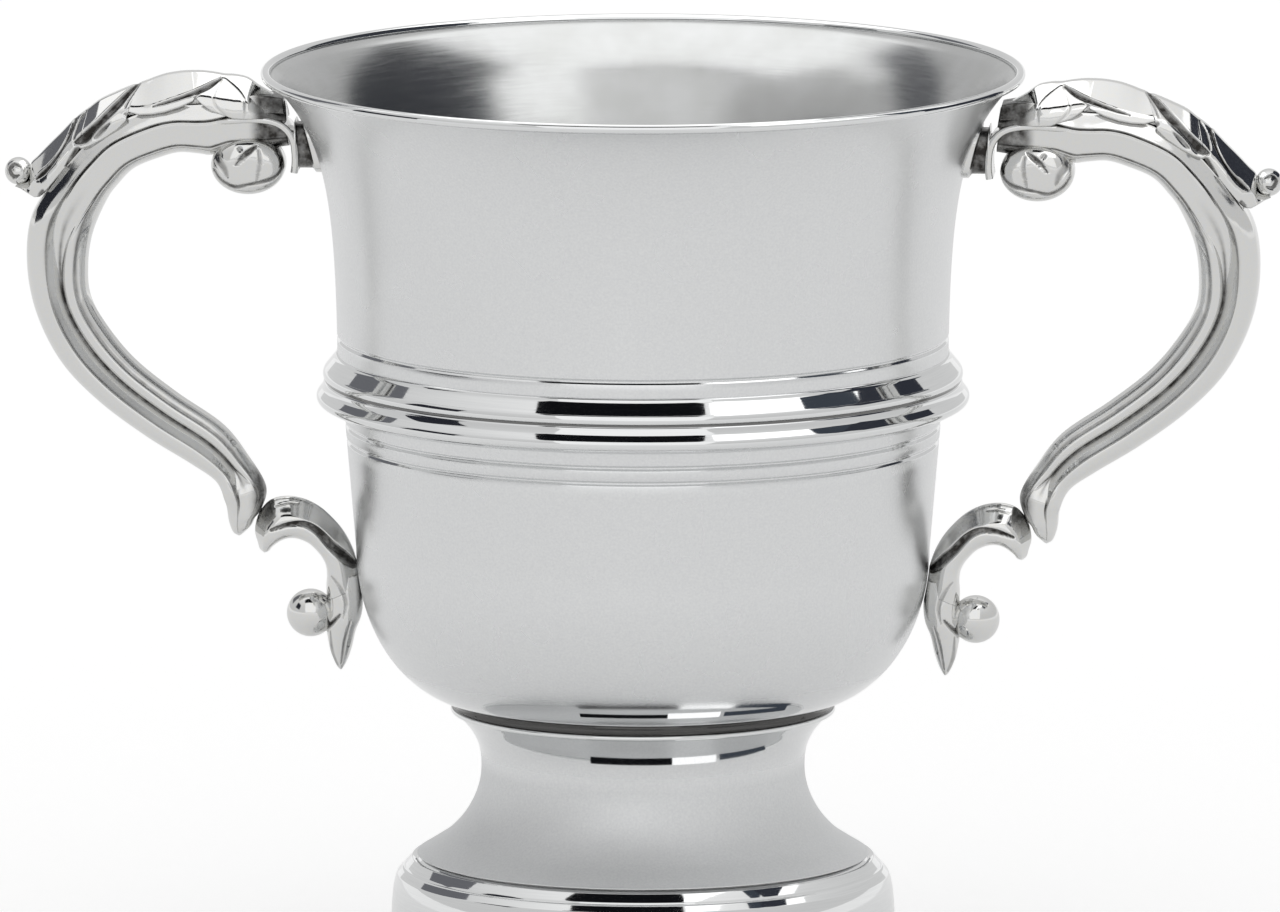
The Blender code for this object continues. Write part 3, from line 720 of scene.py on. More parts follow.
# %% Bowl
def bowl_outline():
    """From the middle of the inside, up the inner wall, over the joint and down the outside."""
    wall_base = BOWL_BASE + BOWL_CURVE
    wide = bowl_radius(wall_base)
    power = 2.0 / BOWL_SQUARENESS
    steps = 44

    def bottom(wall):
        """Curve from the wall to the flat middle, a wall's thickness inside the outer one."""
        points = []
        for i in range(steps + 1):
            angle = 0.5 * math.pi * i / steps
            reach = (wide - BOWL_FLAT_RADIUS - wall) * abs(math.cos(angle)) ** power
            drop = (BOWL_CURVE - wall) * math.sin(angle) ** power
            points.append((BOWL_FLAT_RADIUS + reach, wall_base - drop))
        return points

    inside = [(0.0, BOWL_BASE + WALL)] + bottom(WALL)[::-1]
    inside += [(bowl_radius(height) - WALL, height) for height in (76.0, 82.0, 90.0, JOINT)]
    outside = [(bowl_radius(height), height) for height in (JOINT, 96.0, 93.6)]
    for line_height in TURNED_LINES[1:]:
        outside += turned_line(bowl_radius, line_height)
    outside += [(bowl_radius(height), height) for height in (88.0, 82.0, 76.0)]
    outside += bottom(0.0) + [(0.0, BOWL_BASE)]
    return inside + outside


bowl = finish_inside(turned("pewter_bowl", bowl_outline(), buffed), satin)

# %% [markdown]
# ## Collar, stem and foot
#
# A collar with a hollow and a fine bead covers the joint under the bowl, and its hollow gets painted shade.
# The stem is a hollow waisted cone, drawn here as one smooth curve through points measured down its side.
# The foot has two narrow bevels and a rounded shoulder, and under it a spreading ring with a
# rounded edge. It is open underneath, so the cup stands on a ring.

# %% Collar, stem and foot
STEM_SIDE = (
    (31.6, 45.0),
    (30.2, 43.5),
    (28.5, 41.4),
    (27.3, 38.8),
    (26.9, 36.0),
    (27.1, 33.0),
    (28.1, 29.8),
    (29.9, 26.7),
    (32.4, 24.0),
    (35.0, 22.2),
    (37.6, 20.6),
)


def stem_outline():
    """Measured side, then the inside, which is a wall thinner."""
    side = curve_through(STEM_SIDE, 60)
    inside = []
    for radius, height in side[::-1]:
        inside.append((radius - FOOT_WALL, height))
    return [tuple(point) for point in side] + inside + [tuple(side[0])]


def collar_outline():
    """Hollow below the bowl, then a fine bead on top of the stem."""
    hollow = [(30.4, 47.2), (30.9, 46.6), (31.1, 46.1), (31.2, 45.7), (31.4, 45.4)]
    bead = arc(31.5, 44.95, 0.5, 80.0, -80.0, 14)
    return softened(hollow + bead + [(29.5, 44.45), (29.0, 44.6), (29.0, 47.2)] + hollow[:1], 0.1)


def foot_step_outline():
    """Crease and two narrow bevels below the stem, then a shoulder that drops to the base ring."""
    face = [(35.4, 20.2), (37.1, 20.2), (37.5, 19.7), (37.9, 19.8)]
    face += [(38.4, 20.05), (38.48, 19.96), (39.5, 18.8), (39.58, 18.7), (39.75, 18.35)]
    face += [(40.05, 18.25), (40.13, 18.16), (40.85, 17.34), (40.93, 17.25)]
    face += [(41.3, 16.2), (41.6, 14.6), (41.8, 12.6), (42.0, STEP_BASE - 0.1)]
    back = [(40.0, STEP_BASE - 0.1), (39.8, 13.0), (38.5, 16.2), (36.0, 17.8), (33.6, 18.0)]
    return softened(face + back + face[:1], 0.15)


def foot_ring_outline():
    """Hollow moulding above a rounded edge, on a flat narrow foot."""
    face = [(42.3, 8.9), (42.5, 7.6)]
    moulding = ((42.5, 7.6), (42.9, 6.7), (44.0, 5.9), (45.4, 5.4), (46.4, 4.6), (47.0, 3.4))
    face += curve_through(moulding, 18)[1:]
    face += arc(45.6, 2.0, 1.55, 40.0, -40.0, 10)
    face += [(46.3, 0.1), (45.9, 0.0), (43.5, 0.0), (43.0, 0.5), (42.9, 1.4)]
    back = [(40.1, 6.2), (40.1, 8.9)]
    return softened(face + back + face[:1], 0.3)


collar = turned("pewter_bowl_collar", collar_outline(), bright)
# Painted shade over the collar's hollow.
paint_crease_shade(collar, 45.3, 48.0, 0.9)
stem = turned("pewter_stem", stem_outline(), buffed)
foot_step = turned("pewter_foot_step", foot_step_outline(), bright)
foot_ring = turned("pewter_foot_ring", foot_ring_outline(), bright)

# %% [markdown]
# ## The handle's drawing
#
# A caster carves a handle from a drawing of two lines, its outer and inner edge. Each row
# below is one station across the arm: where the outer edge is, where the inner edge is, and
# half the arm's depth there. A smooth curve through the rows gives as many stations as a
# piece needs. Reach is measured from the axis of the cup and height from the table.

# %% Handle drawing
ARM = (
    (59.8, 147.4, 58.8, 139.0, 3.2),
    (62.4, 147.8, 62.4, 138.5, 3.3),
    (65.4, 147.8, 65.6, 138.5, 3.6),
    (68.6, 147.3, 68.6, 138.3, 3.9),
    (71.7, 146.8, 71.7, 137.3, 4.1),
    (74.0, 146.5, 73.8, 137.5, 4.2),
    (78.4, 146.3, 77.1, 137.7, 4.2),
    (82.9, 145.2, 80.4, 136.8, 4.2),
    (89.6, 142.1, 84.6, 135.0, 4.3),
    (93.9, 138.2, 87.4, 132.2, 4.3),
    (97.9, 133.2, 89.3, 129.5, 4.4),
    (101.8, 126.9, 91.6, 124.1, 4.5),
    (102.6, 118.7, 92.4, 118.7, 4.5),
    (101.0, 110.4, 91.9, 113.3, 4.4),
    (96.9, 102.3, 88.9, 108.0, 4.3),
    (90.7, 95.8, 84.3, 102.6, 4.3),
    (82.9, 90.0, 77.6, 97.3, 4.2),
    (75.4, 85.4, 69.9, 92.0, 4.0),
    (71.2, 82.5, 65.6, 86.6, 3.8),
    (69.5, 79.3, 62.8, 81.6, 3.7),
    (69.1, 76.4, 63.5, 78.0, 3.6),
    (68.7, 74.9, 64.6, 76.4, 3.3),
    (68.2, 73.9, 65.3, 75.0, 2.8),
    (67.4, 73.4, 66.6, 73.8, 1.6),
)
SOLDER = 0.1                         # how far a handle stays outside the wall behind it
SIDES = (("left_", -1), ("right_", 1))


def handle_point(side, reach, height, depth=0.0):
    """Point of the drawing on the cup. Side is 1 for the right handle and -1 for the left."""
    reach = max(reach, outer_radius(height) + SOLDER)
    return Vector((side * reach * MM, depth * MM, height * MM))


def smooth_step(low, high, value):
    """Goes smoothly from 0 at low to 1 at high."""
    share = max(0.0, min(1.0, (value - low) / (high - low)))
    return share * share * (3.0 - 2.0 * share)


def station_frame(place):
    """Middle, outward direction, half width and half depth of the arm at a place."""
    outer_x, outer_z, inner_x, inner_z, half_depth = along(ARM, place)
    middle = Vector((0.5 * (outer_x + inner_x), 0.5 * (outer_z + inner_z)))
    outward = Vector((outer_x - inner_x, outer_z - inner_z))
    half_width = 0.5 * outward.length
    return middle, outward.normalized(), half_width, half_depth


print("the arm's shoulder is", round(2.0 * station_frame(11)[2], 1), "mm wide")

# %% [markdown]
# ## A skin over rings
#
# A casting has no rule that a lathe could follow, but every section across it has the same number of
# points. So a skin is laid over the sections like planks over a boat's frames, its two ends are closed to a
# point, and points that fall together are merged. Each point may also carry how much shade is painted on
# it, which the cast finish reads.

# %% Skin and castings
def skin(name, rings, painted_shades):
    """Join equal rings of points into a closed casting, with the painted shade of each point."""
    build = bmesh.new()
    shade = build.verts.layers.float.new("hollow")
    rows = []
    for i, ring in enumerate(rings):
        row = []
        for j, point in enumerate(ring):
            vertex = build.verts.new(point)
            vertex[shade] = painted_shades[i][j]
            row.append(vertex)
        rows.append(row)
    count = len(rings[0])
    for row, following in zip(rows, rows[1:]):
        for i in range(count):
            j = (i + 1) % count
            build.faces.new((row[i], row[j], following[j], following[i]))
    for row in (rows[0], rows[-1]):
        middle = build.verts.new(sum((vertex.co for vertex in row), Vector()) / count)
        for i in range(count):
            build.faces.new((row[i], row[(i + 1) % count], middle))
    bmesh.ops.remove_doubles(build, verts=build.verts, dist=SEAM)
    bmesh.ops.dissolve_degenerate(build, edges=build.edges, dist=0.5 * SEAM)
    build.normal_update()
    bmesh.ops.recalc_face_normals(build, faces=build.faces)
    for face in build.faces:
        face.smooth = True
    mesh = bpy.data.meshes.new(name)
    build.to_mesh(mesh)
    build.free()
    mesh.materials.append(cast)
    print(name, len(mesh.polygons), "faces")
    return placed(name, mesh)


def both_sides(half):
    """Close a section: the front half from its outer to its inner edge, then the same behind."""
    return half + [(reach, height, -depth, dark) for reach, height, depth, dark in half[-2:0:-1]]


def cast_pair(name, rings, point=handle_point):
    """Left and right castings from rings of reach, height, depth and painted shade."""
    pair = {}
    shades = [[spot[3] for spot in ring] for ring in rings]
    for word, side in SIDES:
        points = [[point(side, *spot[:3]) for spot in ring] for ring in rings]
        pair[side] = skin(word + name, points, shades)
    return pair


print("half a section of 3 points closes to", len(both_sides([(0, 0, 0, 0)] * 3)), "points")

# %% [markdown]
# ## Handle arms
#
# The arm is cast with fluting down both flanks. Over the shoulder the flank is nearly flat below a proud
# rounded fillet, with a fine crease under each. Below the bend the lower crease opens into a flute with a
# wide bright wall and a narrow one darkened with painted shade, and it closes again above the hoof. So
# there are two sections, and each station is a blend of them. The second number of each pair is how deep
# the flank stands there, as a share of the arm's half depth. A crease is a place across the flank, a width
# and a darkness, which is painted shade, and the root of the arm by the drum gets painted shade as well.

# %% Handle arms
SHOULDER_FLANK = (
    (1.00, 0.00), (0.99, 0.60), (0.97, 0.98), (0.90, 1.03), (0.78, 1.10), (0.65, 1.18),
    (0.58, 1.22), (0.46, 1.28), (0.41, 1.29), (0.365, 1.15), (0.32, 0.97), (0.25, 0.995),
    (-0.30, 1.00), (-0.52, 0.99), (-0.58, 0.94), (-0.62, 0.88), (-0.66, 0.91), (-0.72, 0.86),
    (-0.80, 0.76), (-0.88, 0.60), (-0.94, 0.40), (-0.98, 0.20), (-1.00, 0.00),
)
FLUTED_FLANK = (
    (1.00, 0.00), (0.98, 0.28), (0.93, 0.54), (0.84, 0.76), (0.74, 0.90), (0.62, 0.97),
    (0.50, 1.00), (0.40, 1.00), (0.33, 0.98), (0.29, 0.92), (0.08, 0.70), (-0.08, 0.54),
    (-0.12, 0.52), (-0.15, 0.55), (-0.22, 0.70), (-0.27, 0.76), (-0.40, 0.80), (-0.52, 0.78),
    (-0.58, 0.70), (-0.64, 0.67), (-0.80, 0.58), (-0.94, 0.32), (-1.00, 0.00),
)
# The darkness of each crease is painted shade.
SHOULDER_CREASES = ((0.34, 0.05, 1.0), (-0.62, 0.035, 0.8))
FLUTED_CREASES = ((-0.12, 0.05, 0.95), (-0.62, 0.06, 0.6), (0.31, 0.02, 0.35))
FLANK_FINENESS = 3
ARM_STATIONS = 190


def flank(place):
    """Section of the arm's flank at a place, and the painted shade of each point of it."""
    open_flute = smooth_step(9.6, 12.6, place) * (1.0 - smooth_step(17.9, 19.0, place))
    closed = smooth_step(18.6, 20.0, place)
    rows = []
    for (shoulder_u, shoulder_v), (flute_u, flute_v) in zip(SHOULDER_FLANK, FLUTED_FLANK):
        u = shoulder_u + (flute_u - shoulder_u) * open_flute
        v = shoulder_v + (flute_v - shoulder_v) * open_flute
        plain = math.sqrt(max(0.0, 1.0 - abs(u) ** 3))
        rows.append((u, v + closed * (plain - v) * 0.8))
    fine = curve_through(rows, FLANK_FINENESS * (len(rows) - 1))
    shades = []
    for u, v in fine:
        deep = 0.0
        for creases, present in ((SHOULDER_CREASES, 1.0 - open_flute), (FLUTED_CREASES, open_flute)):
            for crease, width, darkness in creases:
                deep += darkness * present * math.exp(-((u - crease) / width) ** 2)
        shades.append(min(1.0, deep * (1.0 - closed)))
    return fine, shades


def arm_rings():
    """Sections of the scroll arm from the socket over the shoulder to the hoof."""
    rings = []
    for i in range(ARM_STATIONS):
        place = (len(ARM) - 1) * i / (ARM_STATIONS - 1)
        middle, outward, half_width, half_depth = station_frame(place)
        half = []
        for (u, v), shade in zip(*flank(place)):
            spot = middle + outward * (u * half_width)
            # Painted shade at the root of the arm, next to the drum.
            root_shade = 0.9 * (1.0 - smooth_step(63.4, 65.6, spot.x))
            half.append((spot.x, spot.y, v * half_depth, max(shade, root_shade)))
        rings.append(both_sides(half))
    return rings


arms = cast_pair("cast_handle_arm", arm_rings())

# %% [markdown]
# ## Strokes of the gouge
#
# The ornament is cut into the pattern with a gouge before it is cast. Each stroke is a line on
# the drawing, given as reach, height and half the width of the cut in millimetres, so a row of
# points is enough for a crease that swells and dies away. The drawing shows the handle as the
# camera sees it, from a little above, so a spot that stands forward is looked up lower down.

# %% Strokes
SEEN_DROP = math.sin(CAMERA_LIFT)


def stroke(strength, *points):
    """A smooth stroke through a few points, and how deep it is cut and how much shade is painted in it."""
    return strength, curve_through(points, 3 * (len(points) - 1))


def carve(strokes, reach, height, depth):
    """Depth in millimetres of the cuts at a point of a casting, and the shade painted in them."""
    seen = height - SEEN_DROP * abs(depth)
    cut = 0.0
    dark = 0.0
    for strength, points in strokes:
        for (x0, z0, half0), (x1, z1, half1) in zip(points, points[1:]):
            if abs(reach - x0) + abs(seen - z0) > 8.0:
                continue
            run = x1 - x0
            rise = z1 - z0
            share = ((reach - x0) * run + (seen - z0) * rise) / (run * run + rise * rise)
            share = max(0.0, min(1.0, share))
            half = half0 + (half1 - half0) * share
            away = math.hypot(reach - x0 - run * share, seen - z0 - rise * share)
            deep = strength * (1.0 - smooth_step(0.55, 1.7, away / half))
            cut = max(cut, deep * (0.2 + 0.9 * half))
            # The darkness of a cut is painted shade.
            dark = max(dark, deep)
    return cut, dark


print("a cut is deepest in its middle:", carve([stroke(1.0, (0, 0, 0.3), (1, 0, 0.3))], 0.5, 0.0, 0.0))

# %% [markdown]
# ## Acanthus leaves
#
# An acanthus leaf lies over each shoulder and is the carver's finest work. Its lobes overlap
# like feathers towards the tip. Every lobe is a bright bevel from the crest down to its crease,
# with a narrow rim under the crease, and the leaf's tip curls out to hold a bead. Each row of
# the leaf gives a point of the crest, the point of the lower edge below it and half the depth.

# %% Acanthus leaves
LEAF = (
    (59.5, 146.6, 59.1, 143.1, 4.0),
    (61.7, 147.8, 61.4, 143.2, 4.3),
    (63.8, 149.0, 63.8, 143.3, 4.8),
    (65.7, 150.3, 66.0, 143.3, 5.3),
    (67.8, 150.8, 67.8, 143.4, 5.6),
    (69.7, 150.9, 69.8, 144.1, 5.4),
    (71.5, 151.2, 71.5, 144.7, 5.4),
    (73.4, 151.4, 73.1, 145.8, 5.4),
    (74.9, 151.4, 74.2, 146.9, 5.4),
    (75.2, 151.4, 74.5, 146.3, 5.4),
    (76.8, 151.3, 76.8, 145.2, 5.6),
    (79.2, 150.9, 79.2, 144.4, 5.8),
    (81.1, 150.3, 81.4, 144.0, 5.7),
    (82.6, 149.7, 83.5, 143.9, 5.5),
    (83.7, 149.3, 85.4, 144.4, 5.3),
    (83.9, 149.2, 85.7, 142.9, 5.3),
    (85.4, 148.7, 87.2, 141.4, 5.3),
    (87.8, 147.7, 89.7, 139.7, 5.3),
    (90.3, 146.5, 91.8, 138.6, 5.3),
    (92.1, 145.1, 93.5, 138.1, 5.3),
    (92.4, 144.9, 93.9, 137.5, 5.3),
    (94.6, 143.2, 95.5, 135.4, 5.3),
    (96.7, 141.0, 97.4, 133.1, 5.4),
    (98.9, 138.8, 98.8, 131.4, 5.2),
    (100.7, 136.9, 99.7, 130.5, 4.8),
    (101.8, 135.8, 100.3, 130.1, 4.2),
    (102.1, 134.6, 101.2, 130.0, 3.4),
    (102.1, 133.3, 102.3, 130.6, 2.9),
    (102.5, 132.6, 103.4, 131.3, 2.7),
    (103.3, 132.3, 104.4, 131.7, 2.6),
)
LEAF_STROKES = (
    stroke(1.0, (70.1, 150.1, 0.12), (71.5, 149.1, 0.28), (73.1, 148.2, 0.32), (76.1, 147.0, 0.26),
           (79.2, 145.9, 0.2), (81.1, 145.3, 0.06)),
    stroke(0.5, (72.8, 148.3, 0.12), (73.5, 147.7, 0.16), (74.3, 146.8, 0.16)),
    stroke(1.0, (83.9, 149.2, 0.16), (85.4, 147.6, 0.36), (86.9, 145.9, 0.48), (88.4, 144.3, 0.52),
           (90.0, 142.6, 0.54), (91.5, 141.0, 0.62), (92.7, 139.7, 0.68), (94.0, 139.1, 0.3)),
    stroke(0.5, (83.6, 149.2, 0.12), (84.6, 147.6, 0.16), (85.4, 146.2, 0.16), (85.9, 145.0, 0.16)),
    stroke(0.7, (85.7, 143.9, 0.25), (84.9, 143.1, 0.32)),
    stroke(0.7, (88.4, 142.4, 0.09), (89.5, 141.3, 0.3), (90.6, 140.1, 0.26), (91.1, 139.7, 0.06)),
    stroke(0.6, (92.5, 144.5, 0.12), (93.7, 142.5, 0.17), (94.4, 139.7, 0.17)),
    stroke(1.0, (94.2, 143.3, 0.24), (95.2, 140.4, 0.2), (96.7, 137.5, 0.2), (98.3, 135.3, 0.26),
           (99.5, 134.1, 0.38), (100.7, 133.1, 0.2)),
    stroke(0.9, (93.7, 137.7, 0.5), (94.7, 136.3, 0.4), (95.8, 135.1, 0.1)),
    stroke(0.8, (99.6, 130.9, 0.25), (99.9, 130.2, 0.45)),
    stroke(0.2, (69.8, 150.1, 0.1), (71.1, 147.4, 0.2), (70.6, 145.2, 0.2), (68.9, 143.8, 0.1)),
    stroke(0.2, (69.5, 150.1, 0.1), (67.2, 148.1, 0.2), (65.8, 145.9, 0.2), (66.0, 143.5, 0.15)),
)
print("leaf of", len(LEAF), "stations and", len(LEAF_STROKES), "strokes")

# %% [markdown]
# ## Carving the leaf
#
# Seen across, the leaf is a round at its crest, a straight bevel and an upright rim, and the
# strokes are cut at a right angle to that surface, as a gouge cuts. Behind its edge the leaf
# turns in and ends inside the arm, so the two castings sit on each other without a gap.

# %% Leaf sections
LEAF_STATIONS = 291
LEAF_POINTS = 44
BEVEL = 0.92                         # how much deeper the leaf gets for each millimetre down
SMALL = 0.02                         # step in millimetres over which a slope is measured


def leaf_depth(down, brim):
    """Depth of the leaf at a distance below its crest: a round, a bevel, then an upright rim."""
    depth = 0.9 * (1.0 - math.exp(-down / 0.1)) + BEVEL * down
    limit = 0.85 * brim
    if depth <= limit:
        return depth
    return brim - (brim - limit) * math.exp(-(depth - limit) / (brim - limit))


def leaf_rings():
    """Carved outside of the leaf from crest to edge, then a plain seat inside the arm."""
    rings = []
    for i in range(LEAF_STATIONS):
        place = (len(LEAF) - 1) * i / (LEAF_STATIONS - 1)
        crest = Vector(along(LEAF, place)[:2])
        row = min(int(place), len(LEAF) - 2)
        values = [a + (b - a) * (place - row) for a, b in zip(LEAF[row], LEAF[row + 1])]
        edge = Vector(values[2:4])
        brim = values[4]
        drop = (edge - crest).length
        upward = (crest - edge) / drop
        half = []
        for j in range(LEAF_POINTS + 1):
            share = (j / LEAF_POINTS) ** 1.3
            down = share * drop
            depth = leaf_depth(down, brim)
            slope = (leaf_depth(down + SMALL, brim) - depth) / SMALL
            spot = crest.lerp(edge, share)
            height = spot.y + SEEN_DROP * depth
            cut, dark = carve(LEAF_STROKES, spot.x, height, depth)
            cut *= min(1.0, 0.3 + 2.0 * down)
            steep = math.hypot(slope, 1.0)
            spot -= upward * (cut * slope / steep)
            # Painted shade at the root of the leaf, next to the drum.
            root_shade = 0.9 * (1.0 - smooth_step(63.2, 65.2, spot.x)) * smooth_step(0.1, 0.3, share)
            lifted_spot = spot.y + SEEN_DROP * depth
            half.append((spot.x, lifted_spot, max(0.0, depth - cut / steep), max(dark, root_shade)))
        # The edge that turns in under the leaf gets painted shade.
        for share, depth, dark in ((1.03, 0.8 * brim, 0.8), (0.93, 0.5 * brim, 0.0), (0.9, 0.0, 0.0)):
            spot = crest.lerp(edge, share)
            half.append((spot.x, spot.y + SEEN_DROP * depth, depth, dark))
        rings.append(both_sides(half))
    return rings


leaves = cast_pair("cast_handle_leaf", leaf_rings())

# %% [markdown]
# ## Beads and balls
#
# The leaf's tip is rolled into a bead with a swirl on each side, a ball sits in the curl of the
# lower bracket, and under the root of each arm is a volute like a snail. All are domes about a
# middle plane, from round to flat, so one function makes them. The numbers of each are its
# reach and height, half its width, its height and its depth. A turning tool could shape the
# ball, but the others are not round.

# %% Beads and balls
TIP_BEAD = (104.0, 134.3, 2.24, 2.3, 2.65)
BRACKET_BALL = (55.4, 60.4, 4.0, 4.0, 4.0)
BEAD_STROKES = (
    stroke(0.8, (103.7, 133.5, 0.12), (104.7, 133.3, 0.3), (105.3, 134.4, 0.32), (104.6, 135.3, 0.28),
           (103.5, 134.9, 0.14)),
)
DOME_STEPS = 64
DOME_COLUMNS = 128


def domed(reach, height, wide, tall, deep, flatness=1.0, strokes=()):
    """Rings of a dome and its mirror image, from the front pole to the back pole."""
    rings = []
    for i in range(1, DOME_STEPS):
        angle = math.pi * i / DOME_STEPS
        out = math.sin(angle) ** (0.5 + 0.5 * flatness)
        depth = deep * math.copysign(abs(math.cos(angle)) ** flatness, math.cos(angle))
        ring = []
        for j in range(DOME_COLUMNS):
            turn = 2.0 * math.pi * j / DOME_COLUMNS
            x = reach + wide * out * math.cos(turn)
            z = height + tall * out * math.sin(turn)
            cut, dark = carve(strokes, x, z, depth)
            ring.append((x, z, math.copysign(max(0.0, abs(depth) - cut), depth), dark))
        rings.append(ring)
    return rings


beads = cast_pair("leaf_bead", domed(*TIP_BEAD, strokes=BEAD_STROKES))
balls = cast_pair("bracket_ball", domed(*BRACKET_BALL))

# %% [markdown]
# ## Volutes
#
# The volute has an eye, a slit and a hollow just inside its rim. A strip leaves the arm above
# it, turns down beside it and ends on the socket. The strip follows a path, so a second node
# tree makes it: a flat rounded section is swept along a line, and every point of the line says
# how wide the strip is there. Volute and strip are one casting, so they become one mesh.

# %% Volutes
VOLUTE = (65.6, 135.9, 6.2, 4.9, 4.9)
VOLUTE_STROKES = (
    stroke(1.0, (64.0, 138.8, 0.15), (65.1, 137.9, 0.34), (66.3, 136.9, 0.32), (67.5, 135.5, 0.1)),
    stroke(0.6, (66.9, 138.3, 0.3), (66.7, 138.0, 0.3)),
    stroke(0.5, (70.1, 138.1, 0.16), (70.5, 136.5, 0.5), (69.5, 135.0, 0.5), (68.9, 133.6, 0.25)),
    stroke(0.8, (71.2, 134.9, 0.12), (70.0, 133.1, 0.2), (67.8, 131.9, 0.24), (65.7, 132.2, 0.2),
           (63.2, 132.7, 0.26), (61.1, 133.5, 0.26), (60.0, 135.0, 0.2), (60.0, 136.9, 0.2),
           (60.6, 138.6, 0.2)),
    stroke(0.45, (63.6, 138.1, 0.16), (63.4, 136.3, 0.25), (63.7, 134.4, 0.25), (64.0, 132.7, 0.12)),
)
WRAP = (
    (71.2, 143.3), (69.6, 143.55), (67.8, 143.7), (65.0, 143.85), (62.4, 143.7), (60.3, 143.1),
    (58.8, 141.9), (57.9, 140.2), (57.6, 138.2), (57.6, 136.4), (57.8, 135.0),
)
WRAP_WIDTH = 9.2
WRAP_THICKNESS = 1.2
WRAP_CORNER = 0.55
WRAP_STEPS = 90


def rolled_strip_tree():
    """Node tree that sweeps a flat rounded section along a line, as wide as its points say."""
    tree, given = start_tree("rolled_strip", (
        ("Line", "Geometry"), ("Strip Width", "Float"), ("Strip Thickness", "Float"), ("Corner", "Float")
    ))
    path = add_node(tree, "GeometryNodeMeshToCurve", links={0: given["Line"]})
    level = add_node(
        tree, "GeometryNodeSetCurveNormal", {"Normal": (0.0, 1.0, 0.0)}, {"Curve": path}, mode="FREE"
    )
    taper = add_node(
        tree, "GeometryNodeInputNamedAttribute", {"Name": "taper"}, data_type="FLOAT"
    ).outputs["Attribute"]
    section = add_node(
        tree, "GeometryNodeCurvePrimitiveQuadrilateral",
        links={"Width": given["Strip Width"], "Height": given["Strip Thickness"]}, mode="RECTANGLE"
    )
    rounded = add_node(
        tree, "GeometryNodeFilletCurve", {"Count": 6}, {"Curve": section, "Radius": given["Corner"]},
        mode="POLY"
    )
    swept = add_node(
        tree, "GeometryNodeCurveToMesh", {"Fill Caps": True},
        {"Curve": level, "Profile Curve": rounded, "Scale": taper}
    )
    end_tree(tree, swept, given["Finish"])
    return tree


ROLLED_STRIP = rolled_strip_tree()


def wrap_strip(name, side):
    """Strip that wraps the volute, swept by the node tree."""
    line = bpy.data.meshes.new(name)
    points = [handle_point(side, *spot) for spot in curve_through(WRAP, WRAP_STEPS)]
    line.from_pydata(points, [(i, i + 1) for i in range(WRAP_STEPS)], [])
    widths = [min(1.0, 0.82 + 1.2 * i / WRAP_STEPS) for i in range(WRAP_STEPS + 1)]
    line.attributes.new("taper", "FLOAT", "POINT").data.foreach_set("value", widths)
    return made_by_nodes(name, line, ROLLED_STRIP, {
        "Strip Width": WRAP_WIDTH * MM, "Strip Thickness": WRAP_THICKNESS * MM,
        "Corner": WRAP_CORNER * MM, "Finish": cast,
    })


def joined(piece, part):
    """Make a part's mesh belong to a piece, as one casting, and drop the part."""
    build = bmesh.new()
    build.from_mesh(piece.data)
    build.from_mesh(part.data)
    build.to_mesh(piece.data)
    build.free()
    bpy.data.objects.remove(part)
    print(piece.name, len(piece.data.polygons), "faces with its strip")


volutes = cast_pair("cast_volute", domed(*VOLUTE, 0.45, VOLUTE_STROKES))
for side, volute in volutes.items():
    joined(volute, wrap_strip("wrap_strip", side))

# %% [markdown]
# ## Sockets
#
# A socket joins the root of each arm to the flaring drum. It is cast with the handle, and its
# back is filed to the curve of the wall, so here every point of its back is placed on the wall.
# A flange lies against the drum, and a panel between the flange and the strip is sunk and painted with
# shade.

# %% Sockets
SOCKET_MIDDLE = 139.2
SOCKET_HALF_HEIGHT = 4.2
SOCKET_HALF_DEPTH = 4.4
SOCKET_FACE = 57.8
SOCKET_SEAT = 0.2                    # how far the back is let into the wall
SOCKET_STATIONS = 48
SOCKET_POINTS = 96


def rounded_wave(value):
    """Sine or cosine made squarish, for a rectangle with rounded corners."""
    return math.copysign(abs(value) ** 0.6, value)


def socket_rings():
    """Rings from the wall of the drum out to the strip."""
    rings = []
    for i in range(SOCKET_STATIONS):
        share = i / (SOCKET_STATIONS - 1)
        sunk = smooth_step(0.24, 0.36, share) * (1.0 - smooth_step(0.8, 0.92, share))
        swell = 1.06 - 0.17 * sunk
        ring = []
        for j in range(SOCKET_POINTS):
            angle = 2.0 * math.pi * j / SOCKET_POINTS
            depth = SOCKET_HALF_DEPTH * swell * rounded_wave(math.cos(angle))
            height = SOCKET_MIDDLE + SOCKET_HALF_HEIGHT * swell * rounded_wave(math.sin(angle))
            back = math.sqrt((drum_radius(height) - SOCKET_SEAT) ** 2 - depth ** 2)
            # The sunk panel's darkness is painted shade.
            ring.append((back + share * (SOCKET_FACE - back), height, depth, 0.95 * sunk))
        rings.append(ring)
    return rings


def socket_point(side, reach, height, depth):
    """Point of a socket, which isn't held off the wall as the points of other castings are."""
    return Vector((side * reach * MM, depth * MM, height * MM))


sockets = cast_pair("cast_socket", socket_rings(), socket_point)

# %% [markdown]
# ## Lower brackets
#
# Below the hoof a small scroll turns over and comes down the bowl. It starts in a second hoof, has a deep
# groove with painted shade that widens along each side, and runs into a pointed pendant leaf.
# A short curl of that leaf holds the ball. Both parts are drawn like the arm, with one edge
# away from the cup and one towards it.

